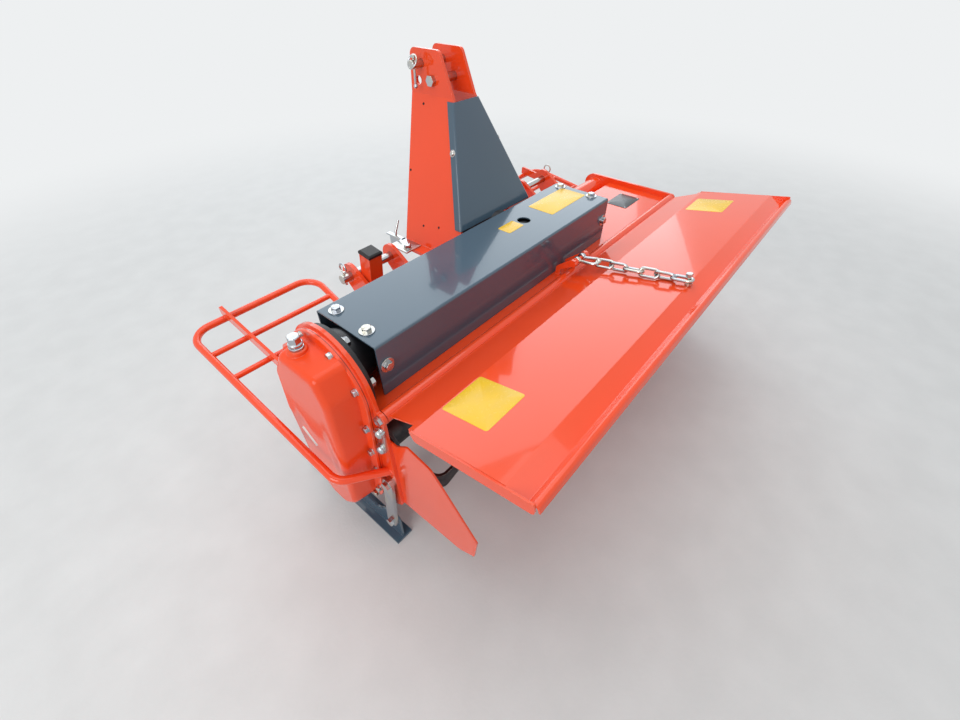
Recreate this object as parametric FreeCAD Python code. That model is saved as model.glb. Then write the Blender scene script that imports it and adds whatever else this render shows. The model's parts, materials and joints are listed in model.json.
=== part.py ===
import FreeCAD, Part
import math
import os

# Rotary tiller for a small tractor, parked on its skids and its stand.
# +Y is the direction of travel, +X the right-hand side, +Z up, millimetres.
# The floor is z = 0 and x = 0 is the middle of the machine, under the gearbox.
# Below, y = 0 is a few millimetres behind the drive shaft; when the pieces are
# written out they all move by footprint_middle(), so that the origin is on the
# floor under the middle of the machine.

V = FreeCAD.Vector
AXIS_X, AXIS_Y, AXIS_Z = V(1, 0, 0), V(0, 1, 0), V(0, 0, 1)

# Working width and the two side plates
SIDE_GAP = 1260.0          # between the inner faces of the side plates
PLATE_T = 8.0
PLATE_REAR_Y = -126.0
PLATE_FRONT_Y = 206.0
PLATE_BOTTOM_Z = 150.0
PLATE_TOP_Z = 476.0
ARCH_R = 118.0             # arch of the left side plate above the drive shaft
ARCH_Z = 485.0

# Rotor
ROTOR_Y, ROTOR_Z = 16.0, 222.0
TIP_R = 200.0
ROTOR_TUBE_D, ROTOR_TUBE_WALL = 76.0, 8.0
ROTOR_PLUG = 40.0          # solid length at each end of the rotor's tube
ROTOR_END_GAP = 20.0       # from a side plate to the end of the rotor's tube
STUB_D = 40.0
RUN_CLEARANCE = 0.1        # on the radius, between a shaft and its bearing
DISC_D = 172.0
DISC_T = 8.0
DISC_END = 57.0            # from a side plate to the middle of an end disc
DISC_COUNT = 6
TINES_PER_DISC = 4
TINE_T = 7.0
TINE_W = 44.0
TINE_REACH = 96.0
TINE_BEND_R = 26.0
TINE_FOOT_R = 50.0
TINE_TWIST = 25.0          # degrees from one disc to the next

# Drive line
DRIVE_Y, DRIVE_Z = 8.0, 515.0
DRIVE_TUBE_D, DRIVE_TUBE_WALL = 92.0, 8.0
DRIVE_FLANGE_D, DRIVE_FLANGE_T = 200.0, 14.0
DRIVE_CONE_D, DRIVE_CONE_LEN = 138.0, 50.0
GEARBOX_HALF_X = 78.0
GEARBOX_REAR_Y, GEARBOX_FRONT_Y = -56.0, 120.0
GEARBOX_TOP_Z = 562.0
GEARBOX_EDGE_R = 14.0
INPUT_BOSS_D, INPUT_BOSS_LEN = 96.0, 44.0
INPUT_HUB_D, INPUT_HUB_LEN = 70.0, 22.0
PTO_D = 34.9
PTO_LEN = 92.0
PTO_SEAT = 30.0            # length of the shaft that runs inside the hub
SPLINES = 6
SPLINE_DEPTH = 2.6
SPLINE_W = 8.7
GROOVE_D, GROOVE_W = 29.4, 7.0
BELL_D, BELL_T = 144.0, 3.0
BELL_NECK, BELL_FLARE, BELL_LEN = 26.0, 18.0, 110.0
BELL_REAR = 6.0            # from the gearbox boss to the rear edge of the bell

# Hood and the tubes that stiffen it
HOOD_T = 4.0
HOOD_TOP_Z = 460.0
HOOD_REAR_GAP = 5.5        # between the hinge tube and the rear edge of the hood
APRON_FOOT_Y, APRON_FOOT_Z, APRON_TOP_Y = 203.0, 324.0, 190.0
HOOD_STEP_LOW, HOOD_STEP_HIGH = 18.0, 60.0   # start and end of the step, behind the beam's axis
HINGE_Y, HINGE_Z, HINGE_D, HINGE_WALL = -119.0, 462.0, 27.0, 3.0
HINGE_PIN_D, HINGE_PIN_IN, HINGE_PLUG = 12.0, 28.0, 34.0
HINGE_END_GAP = 2.0        # from a side plate to the end of the hinge tube
HINGE_LUG_R = 14.0         # rounded corner of a side plate round the hinge pin
BEAM_Y, BEAM_Z, BEAM_D, BEAM_WALL = 164.0, 434.0, 60.0, 6.0
BEAM_END_OUT = 12.0        # how far the beam stands out of each side plate
BEAM_CAP = 4.0
SEAT = 0.3                 # gap left between curved faces that rest on each other

# Dark cover over the drive tube
COVER_X0, COVER_X1 = -591.0, 232.0
COVER_Y0, COVER_Y1 = -79.0, 95.0
COVER_TOP_Z = 578.0
COVER_T = 3.0
COVER_HOLE_X, COVER_HOLE_Y, COVER_HOLE_D = -26.0, 20.0, 34.0
COVER_EDGE_R = 5.0

# Gear case at the left end
CASE_FLANGE_T = 12.0
CASE_FLANGE_R, CASE_FLANGE_TOP_R = 100.0, 112.0
CASE_DEPTH = 58.0
CASE_EDGE_R = 5.0
# Outline of the case's outer face and how much larger it is at the flange, all in
# (y, z): corner, corner radius, outward step at the flange
CASE_FACE = [(-60.0, 572.0, 6.0, (-8.0, 6.0)), (-77.0, 518.0, 40.0, (-8.0, 0.0)),
             (-66.0, 350.0, 60.0, (-8.0, 0.0)), (-44.0, 172.0, 40.0, (-8.0, -3.0)),
             (-2.0, 130.0, 34.0, (-3.0, -3.0)), (50.0, 130.0, 34.0, (3.0, -3.0)),
             (96.0, 190.0, 40.0, (7.0, -3.0)), (104.0, 400.0, 60.0, (4.0, 0.0)),
             (84.0, 515.0, 40.0, (7.0, 0.0)), (44.0, 572.0, 6.0, (8.0, 6.0))]
CASE_STEP_T, CASE_STEP_INSET = 4.0, 10.0
CASE_STEP_FRONT_Z, CASE_STEP_REAR_Z = 420.0, 340.0
PLUG_Y, PLUG_DEPTH = 22.0, 28.0        # filler plug: place along y, distance from the flange
PLUG_BOSS_D, PLUG_BOSS_H = 36.0, 10.0
PLUG_COLLAR_D, PLUG_COLLAR_H = 27.0, 12.0
PLUG_HEX, PLUG_HEX_H = 24.0, 14.0
DRAIN_D, DRAIN_H, DRAIN_HEX = 28.0, 6.0, 19.0

# Hitch tower
TOWER_GAP = 68.0
TOWER_T = 8.0
TOWER_TOP_Z, TOWER_BEND_Z, TOWER_FOOT_Z = 914.0, 820.0, 487.0
TOWER_TOP_FRONT_Y, TOWER_TOP_REAR_Y = 373.0, 276.0
TOWER_BEND_FRONT_Y, TOWER_BEND_REAR_Y = 378.0, 236.0
TOWER_FOOT_FRONT_Y, TOWER_FOOT_REAR_Y = 316.0, 102.0
TOWER_SPLAY = 0.387        # sideways run of a plate for each unit of drop
TOWER_CORNER_R = 16.0
TOP_PIN_Y, TOP_PIN_Z, TOP_PIN_D = 338.0, 884.0, 19.0
SPARE_HOLE_Y, SPARE_HOLE_Z = 350.0, 848.0
SPACER_Y, SPACER_Z, SPACER_D = 302.0, 852.0, 22.0
PIN_OUT = 34.0
FOOT_W, FOOT_T = 46.0, 8.0
FOOT_WEB_T = 8.0
PIN_CLEARANCE = 0.25       # on the radius, between a hitch pin and its hole

# Dark shield across the rear edges of the tower
SHIELD_T = 3.0
SHIELD_TOP_Z, SHIELD_FOOT_Z = 815.0, 566.0
SHIELD_FLANGE = 16.0

# Lower hitch
LOWER_SPAN = 683.0
LOWER_Y, LOWER_Z, LOWER_D = 250.0, 505.0, 22.0
CLEVIS_GAP = 116.0
CLEVIS_T = 10.0
CLEVIS_R = 30.0
CLAMP_R = 42.0
CLAMP_CUT = 26.0           # how far the ears reach below the beam's axis
LOWER_PIN_OUT = 26.0

# Parking stand, between the ears of the left lower hitch, its foot further forward
STAND_LEAN = 8.0           # degrees
STAND_SIDE, STAND_WALL = 36.0, 3.0
STAND_ABOVE = 137.0        # from the beam's level to the top of the stand, along the stand
STAND_FOOT, STAND_FOOT_T = 80.0, 6.0
STAND_CLEARANCE = 0.5
SLEEVE_T, SLEEVE_H = 3.0, 86.0
CAP_H, CAP_LIP, CAP_EDGE = 9.0, 1.5, 3.0

# Skids
SKID_W, SKID_T = 46.0, 6.0
SKID_REAR_Y, SKID_FRONT_Y = -110.0, 218.0
SKID_TIP_Y, SKID_TIP_Z = 268.0, 52.0
SKID_WEB_T, SKID_WEB_H = 6.0, 96.0
SKID_WEB_LOW_H = 52.0
LINK_W, LINK_T = 30.0, 8.0
LINK_END = 15.0            # from an end bolt to the end of its bar
# Adjusting bars: top bolt y, top bolt z, foot bolt y
LINKS = [(-110.0, 255.0, -87.0), (152.0, 255.0, 152.0)]
LINK_FOOT_Z = 72.0
LINK_PACKER_D = 24.0
LINK_HEX, LINK_HEX_H = 19.0, 8.0

# Front guards: hoops of round bar whose side bars rise towards the front
GUARD_D, GUARD_CROSS_D = 18.0, 14.0
GUARD_FOOT_Y, GUARD_FOOT_Z = -112.0, 288.0
GUARD_REAR_X, GUARD_REAR_Y, GUARD_REAR_Z = 731.0, -66.0, 316.0
GUARD_FRONT_X, GUARD_FRONT_Y, GUARD_FRONT_Z = 737.0, 497.0, 391.0
GUARD_IN_X = 385.0
GUARD_LEG_X, GUARD_LEG_Z = 416.0, 340.0
GUARD_BEND_R, GUARD_REAR_BEND_R = 50.0, 36.0
GUARD_CROSS_Y = (400.0, 304.0)
GUARD_FLAT_T, GUARD_FLAT_H = 8.0, 26.0
GUARD_FLAT_REAR_Y, GUARD_FLAT_OVER = 142.0, 10.0

# Side deflectors behind the side plates
DEFLECTOR_T = 4.0

# Tailgate, drawn in the raised position
GATE_HALF_X = 641.0
GATE_T = 3.0
GATE_FOLD_Y, GATE_FOLD_Z = -212.0, 503.0
GATE_SLOPE = 11.5          # degrees, rising to the rear
GATE_PANEL = 192.0
GATE_DIP, GATE_DIP_RUN, GATE_RISE_RUN = 16.0, 36.0, 17.0
GATE_LIP = 18.0
GATE_SIDE_GAP = 6.0        # between the side plates and the strip by the hinge tube
GATE_NOTCH_LEAD = 12.0     # the full width starts this far ahead of the fold
GATE_END_T = 4.0
GATE_END_H = 24.0

# Chain that holds the gate up
CHAIN_X = 8.0
CHAIN_WIRE, CHAIN_PITCH, CHAIN_W = 7.0, 36.0, 25.0
CHAIN_SLACK = 0.4
CHAIN_LINKS = 7
CHAIN_START_Y, CHAIN_START_Z = -174.0, 521.0
CHAIN_RISE = 9.2           # degrees, from the first link to the last
CHAIN_SAG = 2.0
TAB_T, TAB_GAP, TAB_RING_R = 6.0, 37.0, 10.0
TAB_FOOT_REAR_Y, TAB_FOOT_FRONT_Y = -97.0, -84.0
TAB_BOLT_R, TAB_BOLT_ANGLE, TAB_BOLT_D = 50.0, 107.0, 10.0   # bolt, seen from the hinge axis
TAB_HEX, TAB_HEX_H = 17.0, 8.0
CHAIN_TURN = -25.0         # roll of the first link about the chain; the next is a quarter turn on
LUG_BOLT_D, LUG_BOSS_D, LUG_HEX, LUG_HEAD_H = 8.0, 16.0, 13.0, 7.0
LUG_SLACK = 0.4

HALF = SIDE_GAP / 2.0
PLATE_OUT = HALF + PLATE_T


def outline(points, place):
    """Closed wire through points (a, b, corner radius); place turns (a, b) into a vector."""
    count = len(points)
    starts, ends, middles = [], [], []
    for i in range(count):
        a = FreeCAD.Vector(points[i - 1][0], points[i - 1][1], 0)
        b = FreeCAD.Vector(points[i][0], points[i][1], 0)
        c = FreeCAD.Vector(points[(i + 1) % count][0], points[(i + 1) % count][1], 0)
        radius = points[i][2] if len(points[i]) > 2 else 0.0
        into = (a - b).normalize()
        out = (c - b).normalize()
        half = into.getAngle(out) / 2.0
        if radius <= 0.0 or abs(half - math.pi / 2.0) < 1e-6:
            starts.append(b)
            ends.append(b)
            middles.append(None)
            continue
        setback = radius / math.tan(half)
        bisector = (into + out).normalize()
        centre = b + bisector * (radius / math.sin(half))
        starts.append(b + into * setback)
        ends.append(b + out * setback)
        middles.append(centre - bisector * radius)
    edges = []
    for i in range(count):
        if middles[i] is not None:
            edges.append(Part.Arc(place(starts[i].x, starts[i].y), place(middles[i].x, middles[i].y),
                                  place(ends[i].x, ends[i].y)).toShape())
        nxt = (i + 1) % count
        if ends[i].distanceToPoint(starts[nxt]) > 1e-6:
            edges.append(Part.makeLine(place(ends[i].x, ends[i].y),
                                       place(starts[nxt].x, starts[nxt].y)))
    return Part.Wire(edges)


def slab_x(points, x0, x1):
    """Plate whose outline is given in (y, z), from x0 to x1."""
    wire = outline(points, lambda a, b: V(x0, a, b))
    return Part.Face(wire).extrude(V(x1 - x0, 0, 0))


def slab_y(points, y0, y1):
    """Plate whose outline is given in (x, z), from y0 to y1."""
    wire = outline(points, lambda a, b: V(a, y0, b))
    return Part.Face(wire).extrude(V(0, y1 - y0, 0))


def slab_z(points, z0, z1):
    """Plate whose outline is given in (x, y), from z0 to z1."""
    wire = outline(points, lambda a, b: V(a, b, z0))
    return Part.Face(wire).extrude(V(0, 0, z1 - z0))


def box(x0, x1, y0, y1, z0, z1):
    return Part.makeBox(x1 - x0, y1 - y0, z1 - z0, V(x0, y0, z0))


def rod_x(d, x0, x1, y, z):
    return Part.makeCylinder(d / 2.0, x1 - x0, V(x0, y, z), AXIS_X)


def rod_y(d, y0, y1, x, z):
    return Part.makeCylinder(d / 2.0, y1 - y0, V(x, y0, z), AXIS_Y)


def rod_z(d, z0, z1, x, y):
    return Part.makeCylinder(d / 2.0, z1 - z0, V(x, y, z0), AXIS_Z)


def hexagon_points(across, a, b):
    corner = across / math.sqrt(3.0)
    return [(a + corner * math.cos(math.radians(60 * i)), b + corner * math.sin(math.radians(60 * i)))
            for i in range(6)]


def hexagon_x(across, x0, x1, y, z):
    return slab_x(hexagon_points(across, y, z), x0, x1)


def hexagon_z(across, z0, z1, x, y):
    return slab_z(hexagon_points(across, x, y), z0, z1)


def joined(shapes):
    return shapes[0].multiFuse(shapes[1:]).removeSplitter() if len(shapes) > 1 else shapes[0]


def mirrored(shape):
    return shape.mirror(V(0, 0, 0), AXIS_X)


def sheet_points(points, t):
    """Closed outline of a bent sheet: the given line is one face, t to its left the other."""
    offset = []
    count = len(points)
    for i in range(count):
        normals = []
        if i > 0:
            dy, dz = points[i][0] - points[i - 1][0], points[i][1] - points[i - 1][1]
            length = math.hypot(dy, dz)
            normals.append((-dz / length, dy / length))
        if i < count - 1:
            dy, dz = points[i + 1][0] - points[i][0], points[i + 1][1] - points[i][1]
            length = math.hypot(dy, dz)
            normals.append((-dz / length, dy / length))
        ny = sum(n[0] for n in normals)
        nz = sum(n[1] for n in normals)
        length = math.hypot(ny, nz)
        ny, nz = ny / length, nz / length
        reach = t / (ny * normals[0][0] + nz * normals[0][1])
        offset.append((points[i][0] + ny * reach, points[i][1] + nz * reach))
    return list(points) + offset[::-1]


def bent_sheet_x(points, t, x0, x1):
    return slab_x([(y, z) for y, z in sheet_points(points, t)], x0, x1)


def swept(points, radii, d):
    """Round bar along points, with a tangent arc of the given radius at each inner point."""
    edges = []
    at = points[0]
    for i in range(1, len(points) - 1):
        corner = points[i]
        into = (points[i - 1] - corner).normalize()
        out = (points[i + 1] - corner).normalize()
        half = into.getAngle(out) / 2.0
        setback = radii[i - 1] / math.tan(half)
        start, end = corner + into * setback, corner + out * setback
        bisector = (into + out).normalize()
        middle = corner + bisector * (radii[i - 1] / math.sin(half) - radii[i - 1])
        edges.append(Part.makeLine(at, start))
        edges.append(Part.Arc(start, middle, end).toShape())
        at = end
    edges.append(Part.makeLine(at, points[-1]))
    path = Part.Wire(edges)
    direction = (points[1] - points[0]).normalize()
    ring = Part.Wire([Part.makeCircle(d / 2.0, points[0], direction)])
    return path.makePipeShell([ring], True, False)


def belt(x, y0, z0, r0, y1, z1, r1):
    """Wire round two circles, the lower one first, with its two straight sides."""
    dy, dz = y1 - y0, z1 - z0
    span = math.hypot(dy, dz)
    base = math.atan2(dz, dy)
    turn = math.acos((r0 - r1) / span)

    def point(y, z, r, angle):
        return V(x, y + r * math.cos(angle), z + r * math.sin(angle))

    front, rear = base - turn, base + turn
    top = Part.Arc(point(y1, z1, r1, front), point(y1, z1, r1, base), point(y1, z1, r1, rear)).toShape()
    foot = Part.Arc(point(y0, z0, r0, rear), point(y0, z0, r0, base + math.pi),
                    point(y0, z0, r0, front + 2 * math.pi)).toShape()
    return Part.Wire([Part.makeLine(point(y0, z0, r0, front), point(y1, z1, r1, front)), top,
                      Part.makeLine(point(y1, z1, r1, rear), point(y0, z0, r0, rear)), foot])


def make_side_plate(left):
    """Side plate in the left position: the left one rises in an arch round the drive shaft."""
    top = PLATE_TOP_Z
    points = [(PLATE_REAR_Y, PLATE_BOTTOM_Z + 22, 0), (PLATE_REAR_Y + 30, PLATE_BOTTOM_Z, 20),
              (PLATE_FRONT_Y - 24, PLATE_BOTTOM_Z, 40), (PLATE_FRONT_Y, PLATE_BOTTOM_Z + 130, 40),
              (PLATE_FRONT_Y, top, 34), (PLATE_REAR_Y, top, 12)]
    plate = slab_x(points, -PLATE_OUT, -HALF)
    lug = rod_x(2 * HINGE_LUG_R, -PLATE_OUT, -HALF, HINGE_Y, HINGE_Z)
    shapes = [plate, lug]
    if left:
        arch = rod_x(2 * ARCH_R, -PLATE_OUT, -HALF, DRIVE_Y, ARCH_Z)
        skirt_z = PLATE_TOP_Z - 60.0
        skirt = slab_x([(PLATE_REAR_Y, skirt_z), (PLATE_FRONT_Y - 60, skirt_z),
                        (DRIVE_Y + ARCH_R * 0.94, ARCH_Z + ARCH_R * 0.34),
                        (DRIVE_Y - ARCH_R * 0.94, ARCH_Z + ARCH_R * 0.34)], -PLATE_OUT, -HALF)
        shapes += [arch, skirt]
    plate = joined(shapes)
    for d, y, z in ((BEAM_D + 2 * SEAT, BEAM_Y, BEAM_Z), (STUB_D + 10, ROTOR_Y, ROTOR_Z),
                    (HINGE_PIN_D + 2 * PIN_CLEARANCE, HINGE_Y, HINGE_Z)):
        plate = plate.cut(rod_x(d, -PLATE_OUT - 1, -HALF + 1, y, z))
    return plate


def hood_line():
    """Under face of the hood in (y, z), from the foot of the apron to the rear edge."""
    under = HOOD_TOP_Z - HOOD_T
    under_beam = BEAM_Z - BEAM_D / 2.0 - SEAT - HOOD_T
    return [(APRON_FOOT_Y, APRON_FOOT_Z), (APRON_TOP_Y, under_beam),
            (BEAM_Y - HOOD_STEP_LOW, under_beam), (BEAM_Y - HOOD_STEP_HIGH, under),
            (HINGE_Y + HINGE_D / 2.0 + HOOD_REAR_GAP, under)]


def make_hood():
    """Bent sheet over the rotor, stepped down under the beam and turned down in front of it."""
    return bent_sheet_x(hood_line()[::-1], HOOD_T, -HALF + SEAT, HALF - SEAT)


def make_hinge_tube():
    """Tube at the front edge of the tailgate, plugged and bored at each end for its hinge pin."""
    end = HALF - HINGE_END_GAP
    tube = rod_x(HINGE_D, -end, end, HINGE_Y, HINGE_Z)
    inner = end - HINGE_PLUG
    tube = tube.cut(rod_x(HINGE_D - 2 * HINGE_WALL, -inner, inner, HINGE_Y, HINGE_Z))
    bore = rod_x(HINGE_PIN_D + 2 * RUN_CLEARANCE, -end - 1, -end + HINGE_PIN_IN + 2, HINGE_Y, HINGE_Z)
    return tube.cut(bore).cut(mirrored(bore))


def make_hinge_pins():
    """Bolts through the side plates into the ends of the hinge tube."""
    tip = HALF - HINGE_END_GAP - HINGE_PIN_IN
    pin = rod_x(HINGE_PIN_D, -PLATE_OUT - 1, -tip, HINGE_Y, HINGE_Z)
    head = hexagon_x(HINGE_PIN_D * 1.5, -PLATE_OUT - HINGE_PIN_D * 0.6, -PLATE_OUT, HINGE_Y, HINGE_Z)
    bolt = joined([pin, head])
    return Part.makeCompound([bolt, mirrored(bolt)])


def make_beam():
    reach = PLATE_OUT + BEAM_END_OUT
    tube = rod_x(BEAM_D, -reach, reach, BEAM_Y, BEAM_Z)
    inner = reach - BEAM_CAP
    return tube.cut(rod_x(BEAM_D - 2 * BEAM_WALL, -inner, inner, BEAM_Y, BEAM_Z))


def make_cover():
    """Inverted trough over the drive tube, closed at its right end."""
    outer = box(COVER_X0, COVER_X1, COVER_Y0, COVER_Y1, HOOD_TOP_Z + SEAT, COVER_TOP_Z)
    long_edges = [e for e in outer.Edges if abs(e.BoundBox.ZMin - COVER_TOP_Z) < 0.01
                  and e.BoundBox.XLength > COVER_X1 - COVER_X0 - 1]
    outer = outer.makeFillet(COVER_EDGE_R, long_edges)
    inner = box(COVER_X0 - 1, COVER_X1 - COVER_T, COVER_Y0 + COVER_T, COVER_Y1 - COVER_T,
                HOOD_TOP_Z - 1, COVER_TOP_Z - COVER_T)
    shell = outer.cut(inner)
    shell = shell.cut(rod_z(COVER_HOLE_D, COVER_TOP_Z - 10, COVER_TOP_Z + 1,
                            COVER_HOLE_X, COVER_HOLE_Y))
    half = GEARBOX_HALF_X + 4
    return shell.cut(box(-half, half, COVER_Y1 - 10, COVER_Y1 + 1, HOOD_TOP_Z - 1,
                         GEARBOX_TOP_Z + 4))


def make_gearbox():
    """Angle gearbox: a rounded block, with the input boss and hub at its front."""
    block = box(-GEARBOX_HALF_X, GEARBOX_HALF_X, GEARBOX_REAR_Y, GEARBOX_FRONT_Y,
                HOOD_TOP_Z, GEARBOX_TOP_Z)
    edges = [e for e in block.Edges if e.BoundBox.ZMin > HOOD_TOP_Z - 0.01
             and (e.BoundBox.ZLength > 1 or e.BoundBox.ZMin > GEARBOX_TOP_Z - 0.01)]
    block = block.makeFillet(GEARBOX_EDGE_R, edges)
    boss_end = GEARBOX_FRONT_Y + INPUT_BOSS_LEN
    hub_end = boss_end + INPUT_HUB_LEN
    shape = joined([block, rod_y(INPUT_BOSS_D, GEARBOX_FRONT_Y - 20, boss_end, 0, DRIVE_Z),
                    rod_y(INPUT_HUB_D, boss_end - 1, hub_end, 0, DRIVE_Z),
                    rod_z(24, GEARBOX_TOP_Z - 2, GEARBOX_TOP_Z + 8, COVER_HOLE_X, COVER_HOLE_Y)])
    bore = rod_y(PTO_D + 2 * RUN_CLEARANCE, hub_end - PTO_SEAT - 2, hub_end + 1, 0, DRIVE_Z)
    return shape.cut(bore)


def make_drive_tube():
    """Tube from the gearbox to the gear case, with a wide coned flange at the side plate."""
    x0, x1 = -HALF, -GEARBOX_HALF_X
    rim_x = x0 + DRIVE_FLANGE_T
    tube = rod_x(DRIVE_TUBE_D, x0, x1, DRIVE_Y, DRIVE_Z)
    rim = rod_x(DRIVE_FLANGE_D, x0, rim_x, DRIVE_Y, DRIVE_Z)
    cone = Part.makeCone(DRIVE_CONE_D / 2.0, DRIVE_TUBE_D / 2.0, DRIVE_CONE_LEN,
                         V(rim_x, DRIVE_Y, DRIVE_Z), AXIS_X)
    collar = rod_x(DRIVE_TUBE_D + 8, x1 - DRIVE_FLANGE_T, x1, DRIVE_Y, DRIVE_Z)
    body = joined([tube, rim, cone, collar])
    below = box(x0 - 1, x1 + 1, DRIVE_Y - DRIVE_FLANGE_D, DRIVE_Y + DRIVE_FLANGE_D,
                HOOD_TOP_Z - DRIVE_FLANGE_D, HOOD_TOP_Z + SEAT)
    core = rod_x(DRIVE_TUBE_D - 2 * DRIVE_TUBE_WALL, rim_x, x1 - DRIVE_FLANGE_T, DRIVE_Y, DRIVE_Z)
    return body.cut(below).cut(core)


def case_ring(x, step):
    """Outline of the gear case at x; step 0 gives the outer face and 1 the edge at the flange."""
    points = [(y + step * out[0], z + step * out[1], r) for y, z, r, out in CASE_FACE]
    return outline(points, lambda a, b: V(x, a, b))


def make_case_flange():
    """Plate between the side plate and the gear case: a belt outline with a wider top."""
    x0 = -PLATE_OUT - CASE_FLANGE_T
    wire = belt(x0, ROTOR_Y, ROTOR_Z, CASE_FLANGE_R, DRIVE_Y, ARCH_Z, CASE_FLANGE_R)
    plate = Part.Face(wire).extrude(V(CASE_FLANGE_T, 0, 0))
    return joined([plate, rod_x(2 * CASE_FLANGE_TOP_R, x0, x0 + CASE_FLANGE_T, DRIVE_Y, ARCH_Z)])


def make_gear_case():
    """Cast cover of the side drive: sloping walls, crisp top corners, a lower step in its face."""
    x0 = -PLATE_OUT - CASE_FLANGE_T
    x1 = x0 - CASE_DEPTH
    case = Part.makeLoft([case_ring(x0, 1.0), case_ring(x1, 0.0)], True, True)
    middle_y, middle_z = (ROTOR_Y + DRIVE_Y) / 2.0, (ROTOR_Z + ARCH_Z) / 2.0
    inset = []
    for y, z, r, out in CASE_FACE:
        reach = math.hypot(y - middle_y, z - middle_z)
        share = 1.0 - CASE_STEP_INSET / reach
        inset.append((middle_y + (y - middle_y) * share, middle_z + (z - middle_z) * share, r))
    pocket = slab_x(inset, x1 - 1, x1 + CASE_STEP_T)
    wide = 2 * CASE_FLANGE_R
    lower = slab_x([(ROTOR_Y - wide, 0), (ROTOR_Y + wide, 0), (ROTOR_Y + wide, CASE_STEP_FRONT_Z),
                    (ROTOR_Y - wide, CASE_STEP_REAR_Z)], x1 - 2, x1 + CASE_STEP_T + 1)
    return case.cut(pocket.common(lower))


def make_case_plugs():
    """Filler plug on its boss on top of the case, and drain plug under it."""
    x = -PLATE_OUT - CASE_FLANGE_T - PLUG_DEPTH
    top = max(z for y, z, r, out in CASE_FACE)
    collar_z = top + PLUG_BOSS_H
    hex_z = collar_z + PLUG_COLLAR_H
    filler = joined([rod_z(PLUG_BOSS_D, top - 10, collar_z, x, PLUG_Y),
                     rod_z(PLUG_COLLAR_D, collar_z, hex_z, x, PLUG_Y),
                     hexagon_z(PLUG_HEX, hex_z, hex_z + PLUG_HEX_H, x, PLUG_Y)])
    foot = min(z for y, z, r, out in CASE_FACE)
    drain = joined([rod_z(DRAIN_D, foot - DRAIN_H, foot + 10, x, ROTOR_Y),
                    hexagon_z(DRAIN_HEX, foot - 2 * DRAIN_H, foot - DRAIN_H, x, ROTOR_Y)])
    body = make_gear_case()
    return Part.makeCompound([max(shape.cut(body).Solids, key=lambda solid: solid.Volume)
                              for shape in (filler, drain)])


def tower_x(z):
    """Inner face of a tower plate at height z, as a distance from the middle."""
    return TOWER_GAP / 2.0 + TOWER_SPLAY * max(0.0, TOWER_BEND_Z - z)


def make_tower_plate():
    """Left tower plate: upright at the top, splayed below the bend, on a flat foot."""
    inner = TOWER_GAP / 2.0
    upper = slab_x([(TOWER_BEND_REAR_Y, TOWER_BEND_Z), (TOWER_BEND_FRONT_Y, TOWER_BEND_Z),
                    (TOWER_TOP_FRONT_Y, TOWER_TOP_Z, TOWER_CORNER_R),
                    (TOWER_TOP_REAR_Y, TOWER_TOP_Z, TOWER_CORNER_R)], -inner - TOWER_T, -inner)
    corners = [(TOWER_BEND_REAR_Y, TOWER_BEND_Z), (TOWER_FOOT_REAR_Y, TOWER_FOOT_Z),
               (TOWER_FOOT_FRONT_Y, TOWER_FOOT_Z), (TOWER_BEND_FRONT_Y, TOWER_BEND_Z)]
    wire = Part.makePolygon([V(-tower_x(z), y, z) for y, z in corners + corners[:1]])
    lower = Part.Face(wire).extrude(V(-TOWER_T, 0, 0))
    foot_x = -tower_x(TOWER_FOOT_Z) - TOWER_T
    foot = slab_z([(foot_x - FOOT_W + 14, TOWER_FOOT_REAR_Y, 8), (foot_x + 14, TOWER_FOOT_REAR_Y, 0),
                   (foot_x + 14, TOWER_FOOT_FRONT_Y, 0), (foot_x - FOOT_W + 14, TOWER_FOOT_FRONT_Y, 8)],
                  TOWER_FOOT_Z - FOOT_T, TOWER_FOOT_Z)
    web_x = foot_x + 2
    web = slab_x([(TOWER_FOOT_REAR_Y + 6, TOWER_FOOT_Z - FOOT_T + 1),
                  (TOWER_FOOT_REAR_Y + 6, HOOD_TOP_Z - 2), (BEAM_Y, BEAM_Z + 4),
                  (BEAM_Y + BEAM_D / 2.0 + 16, BEAM_Z + 4),
                  (TOWER_FOOT_FRONT_Y - 40, TOWER_FOOT_Z - FOOT_T + 1)], web_x - FOOT_WEB_T, web_x)
    web = web.cut(rod_x(BEAM_D + 2 * SEAT, web_x - 20, web_x + 20, BEAM_Y, BEAM_Z))
    web = web.cut(box(web_x - 20, web_x + 20, -200, BEAM_Y - 20, 0, HOOD_TOP_Z + SEAT))
    plate = joined([upper, lower, foot, web])
    reach = (-inner - TOWER_T - 1, -inner + 1)
    for y, z, d in ((TOP_PIN_Y, TOP_PIN_Z, TOP_PIN_D), (SPARE_HOLE_Y, SPARE_HOLE_Z, TOP_PIN_D),
                    (SPACER_Y, SPACER_Z, SPACER_D - 8)):
        plate = plate.cut(rod_x(d + 2 * PIN_CLEARANCE, reach[0], reach[1], y, z))
    return plate


def make_top_pin():
    """Top link pin, with a collar outside the left plate and a ring head outside the right."""
    inner = TOWER_GAP / 2.0 + TOWER_T
    pin = rod_x(TOP_PIN_D, -inner - PIN_OUT, inner + 14, TOP_PIN_Y, TOP_PIN_Z)
    head = rod_x(TOP_PIN_D + 10, inner + SEAT, inner + 8, TOP_PIN_Y, TOP_PIN_Z)
    linch = rod_z(6, TOP_PIN_Z - 18, TOP_PIN_Z + 20, -inner - PIN_OUT + 12, TOP_PIN_Y)
    ring = Part.makeTorus(13, 2, V(-inner - PIN_OUT + 12, TOP_PIN_Y, TOP_PIN_Z + 30), AXIS_X)
    return joined([pin, head, linch, ring])


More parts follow.
